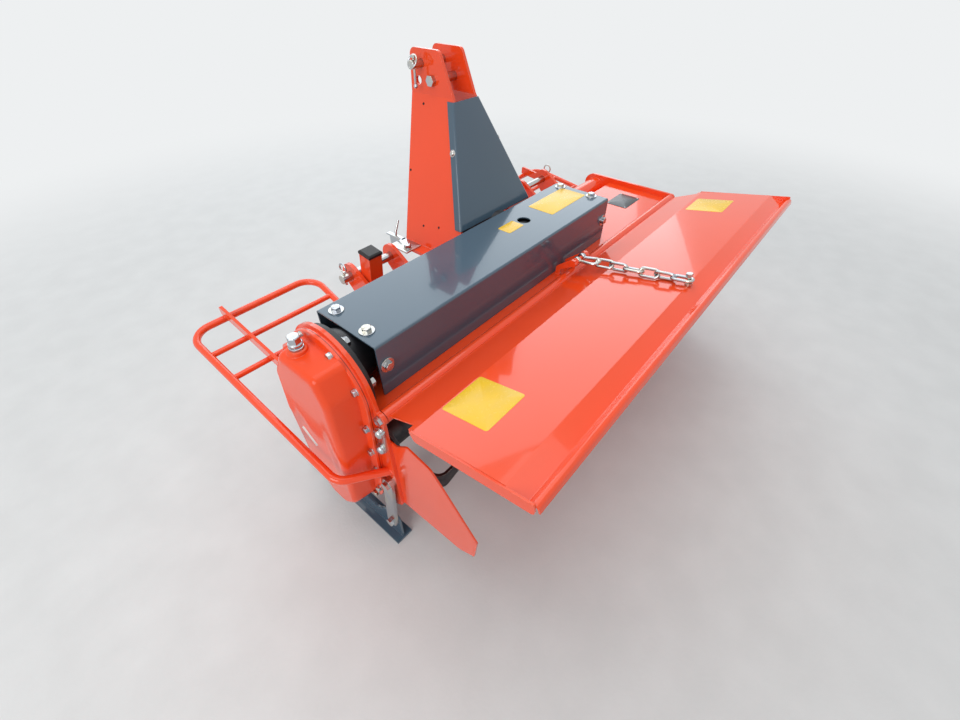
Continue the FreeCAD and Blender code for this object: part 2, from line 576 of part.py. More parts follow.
def make_spacer():
    """Spacer tube between the tower plates, on its through bolt."""
    half = TOWER_GAP / 2.0
    tube = rod_x(SPACER_D, -half + SEAT, half - SEAT, SPACER_Y, SPACER_Z)
    bolt = rod_x(SPACER_D - 8, -half - TOWER_T - 3, half + TOWER_T + 3, SPACER_Y, SPACER_Z)
    heads = [hexagon_x(SPACER_D, -half - TOWER_T - 11, -half - TOWER_T - SEAT, SPACER_Y, SPACER_Z),
             hexagon_x(SPACER_D, half + TOWER_T + SEAT, half + TOWER_T + 11, SPACER_Y, SPACER_Z)]
    return joined([tube, bolt] + heads)


def make_shield():
    """Folded sheet across the rear edges of the tower, lapped over the outside of its plates."""
    slope = (TOWER_BEND_REAR_Y - TOWER_FOOT_REAR_Y) / (TOWER_BEND_Z - TOWER_FOOT_Z)
    drop = math.hypot(1.0, slope)

    def corner(z, side, back):
        y = TOWER_BEND_REAR_Y - slope * (TOWER_BEND_Z - z)
        return V(side * (tower_x(z) + TOWER_T + SEAT), y - back * drop, z)

    outer = SHIELD_T + SEAT
    web = Part.makePolygon([corner(SHIELD_TOP_Z, -1, outer), corner(SHIELD_FOOT_Z, -1, outer),
                            corner(SHIELD_FOOT_Z, 1, outer), corner(SHIELD_TOP_Z, 1, outer),
                            corner(SHIELD_TOP_Z, -1, outer)])
    shapes = [Part.Face(web).extrude(V(0, SHIELD_T * drop, 0))]
    for side in (-1, 1):
        quad = Part.makePolygon([corner(SHIELD_TOP_Z, side, outer), corner(SHIELD_FOOT_Z, side, outer),
                                 corner(SHIELD_FOOT_Z, side, -SHIELD_FLANGE),
                                 corner(SHIELD_TOP_Z, side, -SHIELD_FLANGE),
                                 corner(SHIELD_TOP_Z, side, outer)])
        shapes.append(Part.Face(quad).extrude(V(side * SHIELD_T, 0, 0)))
    return joined(shapes)


def make_clevis():
    """Left lower hitch: two ears clamped on the beam, each rounded at its pin."""
    middle = -LOWER_SPAN / 2.0
    wide = CLEVIS_GAP / 2.0 + CLEVIS_T + 1
    beam = rod_x(BEAM_D + 2 * SEAT, middle - wide, middle + wide, BEAM_Y, BEAM_Z)
    behind = box(middle - wide, middle + wide, BEAM_Y - 2 * CLAMP_R, BEAM_Y - HOOD_STEP_LOW, 0,
                 HOOD_TOP_Z + 3)
    below = box(middle - wide, middle + wide, BEAM_Y - 2 * CLAMP_R, BEAM_Y + 2 * CLAMP_R, 0,
                BEAM_Z - CLAMP_CUT)
    hole = rod_x(LOWER_D + 2 * PIN_CLEARANCE, middle - wide, middle + wide, LOWER_Y, LOWER_Z)
    ears = []
    for side in (-1, 1):
        face = middle + side * CLEVIS_GAP / 2.0
        wire = belt(face, BEAM_Y, BEAM_Z, CLAMP_R, LOWER_Y, LOWER_Z, CLEVIS_R)
        ear = Part.Face(wire).extrude(V(side * CLEVIS_T, 0, 0))
        ear = ear.cut(beam).cut(behind).cut(below).cut(hole)
        ears.append(max(ear.Solids, key=lambda solid: solid.Volume))
    return Part.makeCompound(ears)


def make_lower_pin():
    middle = -LOWER_SPAN / 2.0
    reach = CLEVIS_GAP / 2.0 + CLEVIS_T
    pin = rod_x(LOWER_D, middle - reach - LOWER_PIN_OUT, middle + reach + 10, LOWER_Y, LOWER_Z)
    head = rod_x(LOWER_D + 10, middle + reach + SEAT, middle + reach + 7, LOWER_Y, LOWER_Z)
    hole_x = middle - reach - LOWER_PIN_OUT + 10
    linch = rod_z(6, LOWER_Z - 17, LOWER_Z + 18, hole_x, LOWER_Y)
    ring = Part.makeTorus(12, 2, V(hole_x, LOWER_Y, LOWER_Z + 27), AXIS_X)
    return joined([pin, head, linch, ring])


def stand_x():
    """The stand's sleeve lies against the inner face of the left ear."""
    return -LOWER_SPAN / 2.0 - CLEVIS_GAP / 2.0 + STAND_SIDE / 2.0 + STAND_CLEARANCE + SLEEVE_T


def stand_y():
    """Where the stand's axis passes the level of the beam's axis, its sleeve against the beam."""
    reach = BEAM_D / 2.0 + SEAT + SLEEVE_T + STAND_CLEARANCE + STAND_SIDE / 2.0
    return BEAM_Y + reach / math.cos(math.radians(STAND_LEAN))


def leaning(side, z0, z1, edge=0.0):
    """Square bar along the stand's leaning axis; z0 and z1 are measured along it from the beam."""
    half = side / 2.0
    bar = box(-half, half, -half, half, z0, z1)
    if edge > 0.0:
        bar = bar.makeChamfer(edge, [e for e in bar.Edges if e.BoundBox.ZMin > z1 - 0.01])
    bar.rotate(V(0, 0, 0), AXIS_X, STAND_LEAN)
    bar.translate(V(stand_x(), stand_y(), BEAM_Z))
    return bar


def make_stand_sleeve():
    inner = STAND_SIDE + 2 * STAND_CLEARANCE
    reach = SLEEVE_H / 2.0
    return leaning(inner + 2 * SLEEVE_T, -reach, reach).cut(leaning(inner, -reach - 1, reach + 1))


def make_stand():
    """Square tube on a flat foot."""
    depth = BEAM_Z / math.cos(math.radians(STAND_LEAN)) + STAND_SIDE
    tube = leaning(STAND_SIDE, -depth, STAND_ABOVE)
    tube = tube.cut(leaning(STAND_SIDE - 2 * STAND_WALL, -depth - 1, STAND_ABOVE + 1))
    x, y = stand_x(), stand_y() + BEAM_Z * math.tan(math.radians(STAND_LEAN))
    tube = tube.cut(box(x - STAND_FOOT, x + STAND_FOOT, y - STAND_FOOT, y + STAND_FOOT,
                        -2 * STAND_FOOT, STAND_FOOT_T / 2.0))
    pad = STAND_FOOT / 2.0
    foot = slab_z([(x - pad, y - pad, 12), (x + pad, y - pad, 12), (x + pad, y + pad, 12),
                   (x - pad, y + pad, 12)], 0, STAND_FOOT_T)
    return joined([tube, foot])


def make_stand_cap():
    return leaning(STAND_SIDE + 2 * CAP_LIP, STAND_ABOVE, STAND_ABOVE + CAP_H, CAP_EDGE)


def make_guard():
    """Left front guard: a hoop of round bar, two cross bars and a flat bar on edge."""
    rise = (GUARD_FRONT_Z - GUARD_REAR_Z) / (GUARD_FRONT_Y - GUARD_REAR_Y)
    inside = PLATE_T

    def level(y):
        return GUARD_REAR_Z + rise * (y - GUARD_REAR_Y)

    leg_y = APRON_TOP_Y
    path = [V(-PLATE_OUT + inside, GUARD_FOOT_Y, GUARD_FOOT_Z),
            V(-GUARD_REAR_X, GUARD_REAR_Y, GUARD_REAR_Z),
            V(-GUARD_FRONT_X, GUARD_FRONT_Y, GUARD_FRONT_Z),
            V(-GUARD_IN_X, GUARD_FRONT_Y, GUARD_FRONT_Z),
            V(-GUARD_LEG_X, leg_y, GUARD_LEG_Z)]
    hoop = swept(path, [GUARD_REAR_BEND_R, GUARD_BEND_R, GUARD_BEND_R], GUARD_D)
    hoop = hoop.cut(box(-PLATE_OUT, -HALF, GUARD_FOOT_Y - 30, GUARD_FOOT_Y + 30,
                        GUARD_FOOT_Z - 30, GUARD_FOOT_Z + 30))
    foot, top = hood_line()[0], hood_line()[1]
    run = HOOD_T / math.cos(math.atan2(foot[0] - top[0], top[1] - foot[1]))
    behind = slab_x([(foot[0] + run, foot[1]), (top[0] + run, top[1]), (top[0] - 60, top[1]),
                     (foot[0] - 60, foot[1])], -GUARD_LEG_X - 60, -GUARD_LEG_X + 60)
    hoop = max(hoop.cut(behind).Solids, key=lambda solid: solid.Volume)
    shapes = [hoop]
    for y in GUARD_CROSS_Y:
        share = (y - leg_y) / (GUARD_FRONT_Y - leg_y)
        leg_x = GUARD_LEG_X + (GUARD_IN_X - GUARD_LEG_X) * share
        leg_z = GUARD_LEG_Z + (GUARD_FRONT_Z - GUARD_LEG_Z) * share
        side_x = GUARD_REAR_X + (GUARD_FRONT_X - GUARD_REAR_X) * (y - GUARD_REAR_Y) \
            / (GUARD_FRONT_Y - GUARD_REAR_Y)
        shapes.append(swept([V(-side_x, y, level(y)), V(-leg_x, y, leg_z)], [], GUARD_CROSS_D))
    rear, front = GUARD_FLAT_REAR_Y, GUARD_FRONT_Y + GUARD_FLAT_OVER
    lift = GUARD_D / 2.0 - 2
    shapes.append(slab_x([(rear, level(rear) + lift), (front, level(front) + lift),
                          (front, level(front) + lift + GUARD_FLAT_H, 6),
                          (rear, level(rear) + lift + GUARD_FLAT_H, 6)],
                         -PLATE_OUT - GUARD_FLAT_T, -PLATE_OUT))
    return joined(shapes)


def make_deflector():
    """Left deflector: a tongue behind the side plate that keeps soil from going out sideways."""
    x1 = -HALF
    points = [(PLATE_REAR_Y + 40, 170.0), (-200.0, 176.0, 30), (-292.0, 180.0, 40),
              (-333.0, 203.0, 6), (-341.0, 268.0, 8), (-264.0, 366.0, 20), (-232.0, 404.0, 20),
              (-172.0, 418.0, 12), (PLATE_REAR_Y - 14, 392.0, 8), (PLATE_REAR_Y + 40, 392.0)]
    return slab_x(points, x1, x1 + DEFLECTOR_T)


def make_skid():
    """Left skid: a flat runner turned up at the front, with a web that bolts to the side plate."""
    middle = -PLATE_OUT - SKID_WEB_T / 2.0
    x0, x1 = middle - SKID_W / 2.0, middle + SKID_W / 2.0
    runner = bent_sheet_x([(SKID_REAR_Y, 0.0), (SKID_FRONT_Y, 0.0), (SKID_TIP_Y - 14, 22.0),
                           (SKID_TIP_Y, SKID_TIP_Z)], SKID_T, x0, x1)
    web = slab_x([(SKID_REAR_Y + 4, SKID_T - 0.5), (SKID_FRONT_Y - 10, SKID_T - 0.5),
                  (SKID_FRONT_Y - 16, SKID_WEB_LOW_H, 14), (LINKS[1][0] + 24, SKID_WEB_H, 20),
                  (LINKS[1][0] - 24, SKID_WEB_H, 20), (LINKS[1][0] - 60, SKID_WEB_LOW_H, 20),
                  (LINKS[0][2] + 60, SKID_WEB_LOW_H, 20), (LINKS[0][2] + 24, SKID_WEB_H, 20),
                  (SKID_REAR_Y + 4, SKID_WEB_H, 16)],
                 middle - SKID_WEB_T / 2.0, middle + SKID_WEB_T / 2.0)
    return joined([runner, web])


def make_skid_links():
    """Left adjusting bars between the skid's web and the side plate, with their bolts."""
    face = -PLATE_OUT - SKID_WEB_T - SEAT
    shapes = []
    for top_y, top_z, foot_y in LINKS:
        span = math.hypot(top_y - foot_y, top_z - LINK_FOOT_Z)
        along = ((top_y - foot_y) / span, (top_z - LINK_FOOT_Z) / span)
        across = (-along[1] * LINK_W / 2.0, along[0] * LINK_W / 2.0)
        ends = ((foot_y - along[0] * LINK_END, LINK_FOOT_Z - along[1] * LINK_END),
                (top_y + along[0] * LINK_END, top_z + along[1] * LINK_END))
        bar = slab_x([(ends[0][0] + across[0], ends[0][1] + across[1], 12),
                      (ends[0][0] - across[0], ends[0][1] - across[1], 12),
                      (ends[1][0] - across[0], ends[1][1] - across[1], 12),
                      (ends[1][0] + across[0], ends[1][1] + across[1], 12)], face - LINK_T, face)
        packer = rod_x(LINK_PACKER_D, face, -PLATE_OUT, top_y, top_z)
        heads = [hexagon_x(LINK_HEX, face - LINK_T - LINK_HEX_H, face - LINK_T, y, z)
                 for y, z in ((foot_y, LINK_FOOT_Z), (top_y, top_z))]
        shapes.append(joined([bar, packer] + heads))
    return Part.makeCompound(shapes)


def make_chain_bracket():
    """Two tabs on the hood that lean over the hinge tube and hold the chain's bolt."""
    angle = math.radians(TAB_BOLT_ANGLE)
    bolt_y = HINGE_Y + TAB_BOLT_R * math.cos(angle)
    bolt_z = HINGE_Z + TAB_BOLT_R * math.sin(angle)
    shapes = []
    for side in (-1, 1):
        face = CHAIN_X + side * TAB_GAP / 2.0
        x0, x1 = min(face, face + side * TAB_T), max(face, face + side * TAB_T)
        arm = slab_x([(TAB_FOOT_REAR_Y, HOOD_TOP_Z), (TAB_FOOT_FRONT_Y, HOOD_TOP_Z),
                      (TAB_FOOT_FRONT_Y, HOOD_TOP_Z + 22, 10),
                      (bolt_y + TAB_RING_R * 0.7, bolt_z + TAB_RING_R * 0.7),
                      (bolt_y - TAB_RING_R * 0.6, bolt_z - TAB_RING_R * 0.8),
                      (TAB_FOOT_REAR_Y, HOOD_TOP_Z + 16, 8)], x0, x1)
        shapes += [arm, rod_x(2 * TAB_RING_R, x0, x1, bolt_y, bolt_z)]
    wide = TAB_GAP / 2.0 + TAB_T
    shapes.append(rod_x(TAB_BOLT_D, CHAIN_X - wide, CHAIN_X + wide, bolt_y, bolt_z))
    shapes.append(hexagon_x(TAB_HEX, CHAIN_X - wide - TAB_HEX_H, CHAIN_X - wide, bolt_y, bolt_z))
    shapes.append(hexagon_x(TAB_HEX, CHAIN_X + wide, CHAIN_X + wide + TAB_HEX_H, bolt_y, bolt_z))
    return joined(shapes)


def make_bearing(left):
    """Rotor bearing: a ring inside the left side plate, a capped housing outside the right."""
    if left:
        ring = rod_x(116, -HALF, -HALF + 14, ROTOR_Y, ROTOR_Z)
        return ring.cut(rod_x(STUB_D + 2 * RUN_CLEARANCE, -HALF - 1, -HALF + 15, ROTOR_Y, ROTOR_Z))
    x0 = PLATE_OUT
    housing = joined([rod_x(128, x0, x0 + 12, ROTOR_Y, ROTOR_Z),
                      rod_x(92, x0 + 11, x0 + 34, ROTOR_Y, ROTOR_Z)])
    rim = [e for e in housing.Edges if e.BoundBox.XMin > x0 + 33.9]
    housing = housing.makeFillet(6.0, rim)
    return housing.cut(rod_x(STUB_D + 2 * RUN_CLEARANCE, x0 - 1, x0 + 24, ROTOR_Y, ROTOR_Z))


def disc_places():
    first = -HALF + DISC_END
    step = (SIDE_GAP - 2 * DISC_END) / (DISC_COUNT - 1)
    return [first + i * step for i in range(DISC_COUNT)]


def make_tine(x, side, angle):
    """One L-shaped tine: a shank on the disc's face, a round bend and a sideways blade."""
    face = DISC_T / 2.0
    top = TIP_R - 3
    points = [(face, TINE_FOOT_R), (face + TINE_T, TINE_FOOT_R),
              (face + TINE_T, top - TINE_T, TINE_BEND_R - TINE_T),
              (face + TINE_REACH, top - TINE_T), (face + TINE_REACH, top),
              (face, top, TINE_BEND_R)]
    wire = outline(points, lambda a, b: V(a, -TINE_W / 2.0, b))
    tine = Part.Face(wire).extrude(V(0, TINE_W, 0))
    tine = tine.common(Part.makeCylinder(TIP_R, 400, V(-200, 0, 0), AXIS_X))
    slope = slab_z([(face + TINE_T + 8, -TINE_W / 2.0 - 1), (face + TINE_REACH + 1, -TINE_W / 2.0 - 1),
                    (face + TINE_REACH + 1, 2.0)], TIP_R - 60, TIP_R + 2)
    tine = tine.cut(slope)
    if side < 0:
        tine = tine.mirror(V(0, 0, 0), AXIS_X)
    tine.rotate(V(0, 0, 0), AXIS_X, angle)
    tine.translate(V(x, ROTOR_Y, ROTOR_Z))
    return tine


def make_tines():
    """Four tines on each disc, two to each side, but all inward on the discs at the ends."""
    shapes = []
    places = disc_places()
    for i, x in enumerate(places):
        for k in range(TINES_PER_DISC):
            side = 1 if k % 2 == 0 else -1
            if i == 0:
                side = 1
            if i == len(places) - 1:
                side = -1
            angle = i * TINE_TWIST + k * 360.0 / TINES_PER_DISC
            shapes.append(make_tine(x, side, angle))
    return shapes


def make_rotor():
    """Rotor tube with a stub at each end, and the discs with the tines bolted to their faces."""
    end = HALF - ROTOR_END_GAP
    stub_left = rod_x(STUB_D, -HALF + 2, -end + 1, ROTOR_Y, ROTOR_Z)
    stub_right = rod_x(STUB_D, end - 1, PLATE_OUT + 22, ROTOR_Y, ROTOR_Z)
    tube = rod_x(ROTOR_TUBE_D, -end, end, ROTOR_Y, ROTOR_Z)
    core = rod_x(ROTOR_TUBE_D - 2 * ROTOR_TUBE_WALL, -end + ROTOR_PLUG, end - ROTOR_PLUG,
                 ROTOR_Y, ROTOR_Z)
    discs = [rod_x(DISC_D, x - DISC_T / 2, x + DISC_T / 2, ROTOR_Y, ROTOR_Z) for x in disc_places()]
    return joined([tube, stub_left, stub_right] + discs + make_tines()).cut(core)


def make_pto_shaft():
    """Splined input shaft with its locking groove."""
    hub_end = GEARBOX_FRONT_Y + INPUT_BOSS_LEN + INPUT_HUB_LEN
    y0, y1 = hub_end - PTO_SEAT, hub_end + PTO_LEN - PTO_SEAT
    shaft = rod_y(PTO_D, y0, y1, 0, DRIVE_Z)
    for i in range(SPLINES):
        slot = box(-SPLINE_W / 2 - 0.7, SPLINE_W / 2 + 0.7, hub_end + 2, y1 + 1,
                   PTO_D / 2 - SPLINE_DEPTH, PTO_D)
        slot.rotate(V(0, 0, 0), AXIS_Y, 360.0 / SPLINES * i)
        slot.translate(V(0, 0, DRIVE_Z))
        shaft = shaft.cut(slot)
    ring = rod_y(PTO_D + 4, y1 - 25 - GROOVE_W, y1 - 25, 0, DRIVE_Z)
    return shaft.cut(ring.cut(rod_y(GROOVE_D, y1 - 60, y1, 0, DRIVE_Z)))


def make_pto_guard():
    """Plastic bell round the input shaft, on the hub of the gearbox."""
    y0 = GEARBOX_FRONT_Y + INPUT_BOSS_LEN + BELL_REAR
    neck, flare, end = y0 + BELL_NECK, y0 + BELL_NECK + BELL_FLARE, y0 + BELL_LEN
    r0, r1 = INPUT_HUB_D / 2.0 + SEAT, BELL_D / 2.0 - BELL_T
    points = [(r0, y0), (r0 + BELL_T, y0), (r0 + BELL_T, neck - BELL_T / 2), (r1 + BELL_T, flare - BELL_T),
              (r1 + BELL_T, end), (r1, end), (r1, flare), (r0, neck)]
    wire = Part.makePolygon([V(0, y, DRIVE_Z + r) for r, y in points + points[:1]])
    return Part.Face(wire).revolve(V(0, 0, DRIVE_Z), AXIS_Y, 360)


def gate_line():
    """Under face of the gate, from the hinge axis to its lip, in (y, z)."""
    a = math.radians(GATE_SLOPE)
    line = [(HINGE_Y, HINGE_Z), (GATE_FOLD_Y, GATE_FOLD_Z)]

    def onward(along, drop):
        y, z = GATE_FOLD_Y - along * math.cos(a), GATE_FOLD_Z + along * math.sin(a)
        return (y - drop * math.sin(a), z - drop * math.cos(a))

    end = GATE_PANEL + GATE_DIP_RUN
    line.append(onward(GATE_PANEL, 0.0))
    line.append(onward(end, GATE_DIP))
    line.append(onward(end + GATE_RISE_RUN, 2.0))
    line.append(onward(end + GATE_RISE_RUN + 2.0, GATE_LIP))
    return line


def make_gate_panel():
    """Gate sheet seated on the hinge tube; its strip by the tube fits between the side plates."""
    wide = GATE_HALF_X - GATE_END_T
    panel = bent_sheet_x(gate_line(), -GATE_T, -wide, wide)
    panel = panel.cut(rod_x(HINGE_D + 2 * SEAT, -wide - 1, wide + 1, HINGE_Y, HINGE_Z))
    ahead = box(-wide - 1, wide + 1, HINGE_Y, HINGE_Y + HINGE_D, HINGE_Z - HINGE_D, HINGE_Z + HINGE_D)
    panel = panel.cut(ahead)
    fold = math.hypot(GATE_FOLD_Y - HINGE_Y, GATE_FOLD_Z - HINGE_Z)
    notch = rod_x(2 * (fold - GATE_NOTCH_LEAD), HALF - GATE_SIDE_GAP, wide + 1, HINGE_Y, HINGE_Z)
    panel = panel.cut(notch).cut(mirrored(notch))
    return max(panel.Solids, key=lambda solid: solid.Volume)


def make_gate_ends():
    """Straight end plates of the gate, which stand above its dip."""
    line = gate_line()
    a = math.radians(GATE_SLOPE)
    up = (math.sin(a) * GATE_T, math.cos(a) * GATE_T)
    first, last = line[1], line[-2]
    drop = (-math.sin(a) * GATE_END_H, -math.cos(a) * GATE_END_H)
    points = [(first[0] + up[0] + 8, first[1] + up[1] - 1, 4), (last[0] + up[0], last[1] + up[1], 3),
              (last[0] + drop[0] + 3, last[1] + drop[1] + 3, 8),
              (first[0] + drop[0] * 0.8, first[1] + drop[1] * 0.8, 8)]
    left = slab_x(points, -GATE_HALF_X, -GATE_HALF_X + GATE_END_T)
    return Part.makeCompound([left, mirrored(left)])


def make_link(centre, direction, turn):
    """One chain link: a racetrack of round wire, its long axis along direction."""
    straight = CHAIN_PITCH - CHAIN_W + CHAIN_WIRE * 2.0
    r = (CHAIN_W - CHAIN_WIRE) / 2.0
    h = straight / 2.0
    path = Part.Wire([Part.makeLine(V(-h, r, 0), V(h, r, 0)),
                      Part.Arc(V(h, r, 0), V(h + r, 0, 0), V(h, -r, 0)).toShape(),
                      Part.makeLine(V(h, -r, 0), V(-h, -r, 0)),
                      Part.Arc(V(-h, -r, 0), V(-h - r, 0, 0), V(-h, r, 0)).toShape()])
    ring = Part.Wire([Part.makeCircle(CHAIN_WIRE / 2.0, V(-h, r, 0), AXIS_X)])
    link = path.makePipeShell([ring], True, True)
    link.rotate(V(0, 0, 0), AXIS_X, turn)
    link.Placement = FreeCAD.Placement(centre, FreeCAD.Rotation(AXIS_X, direction)) \
        .multiply(link.Placement)
    return link


def chain_direction():
    rise = math.radians(CHAIN_RISE)
    return V(0, -math.cos(rise), math.sin(rise))


def chain_place(i):
    """Middle of link i of the chain, which sags a little between its ends."""
    share = i / (CHAIN_LINKS - 1.0)
    start = V(CHAIN_X, CHAIN_START_Y, CHAIN_START_Z)
    sag = V(0, 0, -4.0 * CHAIN_SAG * share * (1 - share))
    return start + chain_direction() * ((CHAIN_PITCH - CHAIN_SLACK) * i) + sag


def make_chain():
    """Links from the bracket to the lug, each a quarter turn from the one before."""
    return Part.makeCompound([make_link(chain_place(i), chain_direction(), CHAIN_TURN + 90.0 * (i % 2))
                              for i in range(CHAIN_LINKS)])


def make_chain_lug():
    """Boss on the gate with the bolt that stands through the last link and holds it down."""
    a = math.radians(GATE_SLOPE)
    inside = CHAIN_PITCH / 2.0 - LUG_BOLT_D / 2.0 - CHAIN_SLACK
    middle = chain_place(CHAIN_LINKS - 1) + chain_direction() * inside
    normal = V(0, math.sin(a), math.cos(a))
    on_panel = V(CHAIN_X, GATE_FOLD_Y, GATE_FOLD_Z) + normal * GATE_T
    height = (middle - on_panel).dot(normal)
    base = middle - normal * height
    link_reach = (CHAIN_W - CHAIN_WIRE) / 2.0 * abs(math.sin(math.radians(CHAIN_TURN))) \
        + CHAIN_WIRE / 2.0 + LUG_SLACK
    boss = Part.makeCylinder(LUG_BOSS_D / 2.0, height - link_reach, base, normal)
    pin = Part.makeCylinder(LUG_BOLT_D / 2.0, height + link_reach + 1, base, normal)
    head = hexagon_z(LUG_HEX, height + link_reach, height + link_reach + LUG_HEAD_H, 0, 0)
    head.rotate(V(0, 0, 0), AXIS_X, -GATE_SLOPE)
    head.translate(base)
    return joined([boss, pin, head])


def footprint_middle():
    """Middle of the machine along y, between the front bar of the guards and the gate's lip."""
    return (GUARD_FRONT_Y + GUARD_FLAT_OVER + min(y for y, z in gate_line()) - GATE_T) / 2.0


def build():
    tower = make_tower_plate()
    clevis, lower_pin = make_clevis(), make_lower_pin()
    guard, deflector = make_guard(), make_deflector()
    skid, links = make_skid(), make_skid_links()
    return {
        "side_plate_left": make_side_plate(True),
        "side_plate_right": mirrored(make_side_plate(False)),
        "hood_sheet": make_hood(),
        "hinge_tube": make_hinge_tube(),
        "hinge_pins": make_hinge_pins(),
        "front_beam": make_beam(),
        "drive_cover": make_cover(),
        "gearbox": make_gearbox(),
        "drive_tube": make_drive_tube(),
        "case_flange": make_case_flange(),
        "gear_case": make_gear_case(),
        "case_plugs": make_case_plugs(),
        "tower_plate_left": tower,
        "tower_plate_right": mirrored(tower),
        "top_link_pin": make_top_pin(),
        "tower_spacer": make_spacer(),
        "tower_shield": make_shield(),
        "lower_clevis_left": clevis,
        "lower_clevis_right": mirrored(clevis),
        "lower_pin_left": lower_pin,
        "lower_pin_right": mirrored(lower_pin),
        "stand_sleeve": make_stand_sleeve(),
        "parking_stand": make_stand(),
        "stand_cap": make_stand_cap(),
        "front_guard_left": guard,
        "front_guard_right": mirrored(guard),
        "deflector_left": deflector,
        "deflector_right": mirrored(deflector),
        "skid_left": skid,
        "skid_right": mirrored(skid),
        "skid_links_left": links,
        "skid_links_right": mirrored(links),
        "chain_bracket": make_chain_bracket(),
        "rotor_bearing_left": make_bearing(True),
        "rotor_bearing_right": make_bearing(False),
        "tine_rotor": make_rotor(),
        "pto_shaft": make_pto_shaft(),
        "pto_guard": make_pto_guard(),
        "tailgate_panel": make_gate_panel(),
        "tailgate_ends": make_gate_ends(),
        "tailgate_chain": make_chain(),
        "chain_lug": make_chain_lug(),
    }


os.makedirs("parts", exist_ok=True)
for node, shape in build().items():
    shape.translate(V(0, -footprint_middle(), 0))
    shape.exportStep("parts/" + node + ".step")
    print(node, "solids", len(shape.Solids), "volume", round(shape.Volume), "valid", shape.isValid())
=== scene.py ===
# %% [markdown]
# # A rotary tiller, parked on its skids and its stand
# The machine hangs behind a small tractor. A gearbox in the middle takes the tractor's
# shaft, a tube carries the drive to a gear case at the left end, and the case turns a
# rotor of bent tines under a steel hood. The solids come packed from the CAD work and
# hold every size. This script dresses them: it gives each one a painted, plated or cast
# finish, and adds what solids leave out, such as bolts, welds, the soft corners of
# castings and folds, and blank decals.

# %% Load the frame
import json
import math
import bmesh
import bpy
import numpy as np
from mathutils import Matrix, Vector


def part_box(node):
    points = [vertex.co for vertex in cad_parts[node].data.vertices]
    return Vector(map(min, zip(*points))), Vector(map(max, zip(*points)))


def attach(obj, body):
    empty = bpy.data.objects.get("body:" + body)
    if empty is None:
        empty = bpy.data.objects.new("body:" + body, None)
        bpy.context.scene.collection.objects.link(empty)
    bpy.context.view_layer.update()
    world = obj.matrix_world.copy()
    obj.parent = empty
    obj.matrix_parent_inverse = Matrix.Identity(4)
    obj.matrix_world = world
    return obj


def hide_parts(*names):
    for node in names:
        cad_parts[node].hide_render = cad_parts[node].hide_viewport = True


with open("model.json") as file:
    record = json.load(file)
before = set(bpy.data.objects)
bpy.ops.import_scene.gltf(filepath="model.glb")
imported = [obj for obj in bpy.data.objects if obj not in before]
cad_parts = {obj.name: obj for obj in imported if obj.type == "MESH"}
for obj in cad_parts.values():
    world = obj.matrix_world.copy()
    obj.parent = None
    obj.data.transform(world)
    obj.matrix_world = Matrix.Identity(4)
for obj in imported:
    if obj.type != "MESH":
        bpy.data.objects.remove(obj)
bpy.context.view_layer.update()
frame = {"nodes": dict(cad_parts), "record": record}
nodes = frame["nodes"]

# %% [markdown]
# ## Sizes in millimetres
# The CAD work is in millimetres with its own zero along y, and the frame is in metres.
# The places could be typed in metres, but drawings of machines are read in millimetres.
# So every number below is the drawing's own, and one function turns it into the frame.
# The beam's axis is at y = 164 in the drawing, which gives the shift between the two.

# %% From the drawing to the frame
BEAM_Y, BEAM_Z, BEAM_R = 164.0, 434.0, 30.0
RIGHT, FRONT, UP = np.eye(3)
beam_low, beam_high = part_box("front_beam")
SHIFT = np.array([0.0, (beam_low[1] + beam_high[1]) / 2.0 - BEAM_Y / 1000.0, 0.0])


def metres(points):
    """Frame places of drawing places: a thousandth of each number, plus the shift along y."""
    return np.asarray(points, dtype=float) / 1000.0 + SHIFT


def drawn(node):
    """Lowest and highest corner of a node in drawing millimetres: the inverse of metres()."""
    low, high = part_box(node)
    return (np.array(low) - SHIFT) * 1000.0, (np.array(high) - SHIFT) * 1000.0


print("shift along y in mm", round(SHIFT[1] * 1000.0, 3))


# %% [markdown]
# ## Surfaces as arrays of points
# Every new piece is a grid of points with a face between each four neighbours. One
# could place vertices by hand in the editor, or call the cone and cylinder buttons and
# bevel them. A grid worked out from a formula is exact, can be changed by one number,
# and closes on itself when its last column meets its first.

# %% Grids of quads
def unit(vectors):
    """Each vector divided by its own length."""
    length = np.linalg.norm(vectors, axis=-1, keepdims=True)
    return vectors / np.maximum(length, 1e-9)


def skin(points, wrap=True):
    """Quads over rows and columns of points: each joins (i, j), (i, j+1), (i+1, j+1) and
    (i+1, j). With wrap the last column also joins the first."""
    rows, columns = points.shape[:2]
    i = np.arange(rows - 1)[:, None] * columns
    j = np.arange(columns if wrap else columns - 1)[None, :]
    ahead = (j + 1) % columns
    faces = np.stack([i + j, i + ahead, i + ahead + columns, i + j + columns], axis=-1)
    return points.reshape(-1, 3), faces.reshape(-1, 4)


def joined(shapes):
    """Several (points, faces) as one: face numbers move on by the points before them."""
    starts = np.cumsum([0] + [len(points) for points, faces in shapes[:-1]])
    return (np.concatenate([points for points, faces in shapes]),
            np.concatenate([faces + start for (points, faces), start in zip(shapes, starts)]))


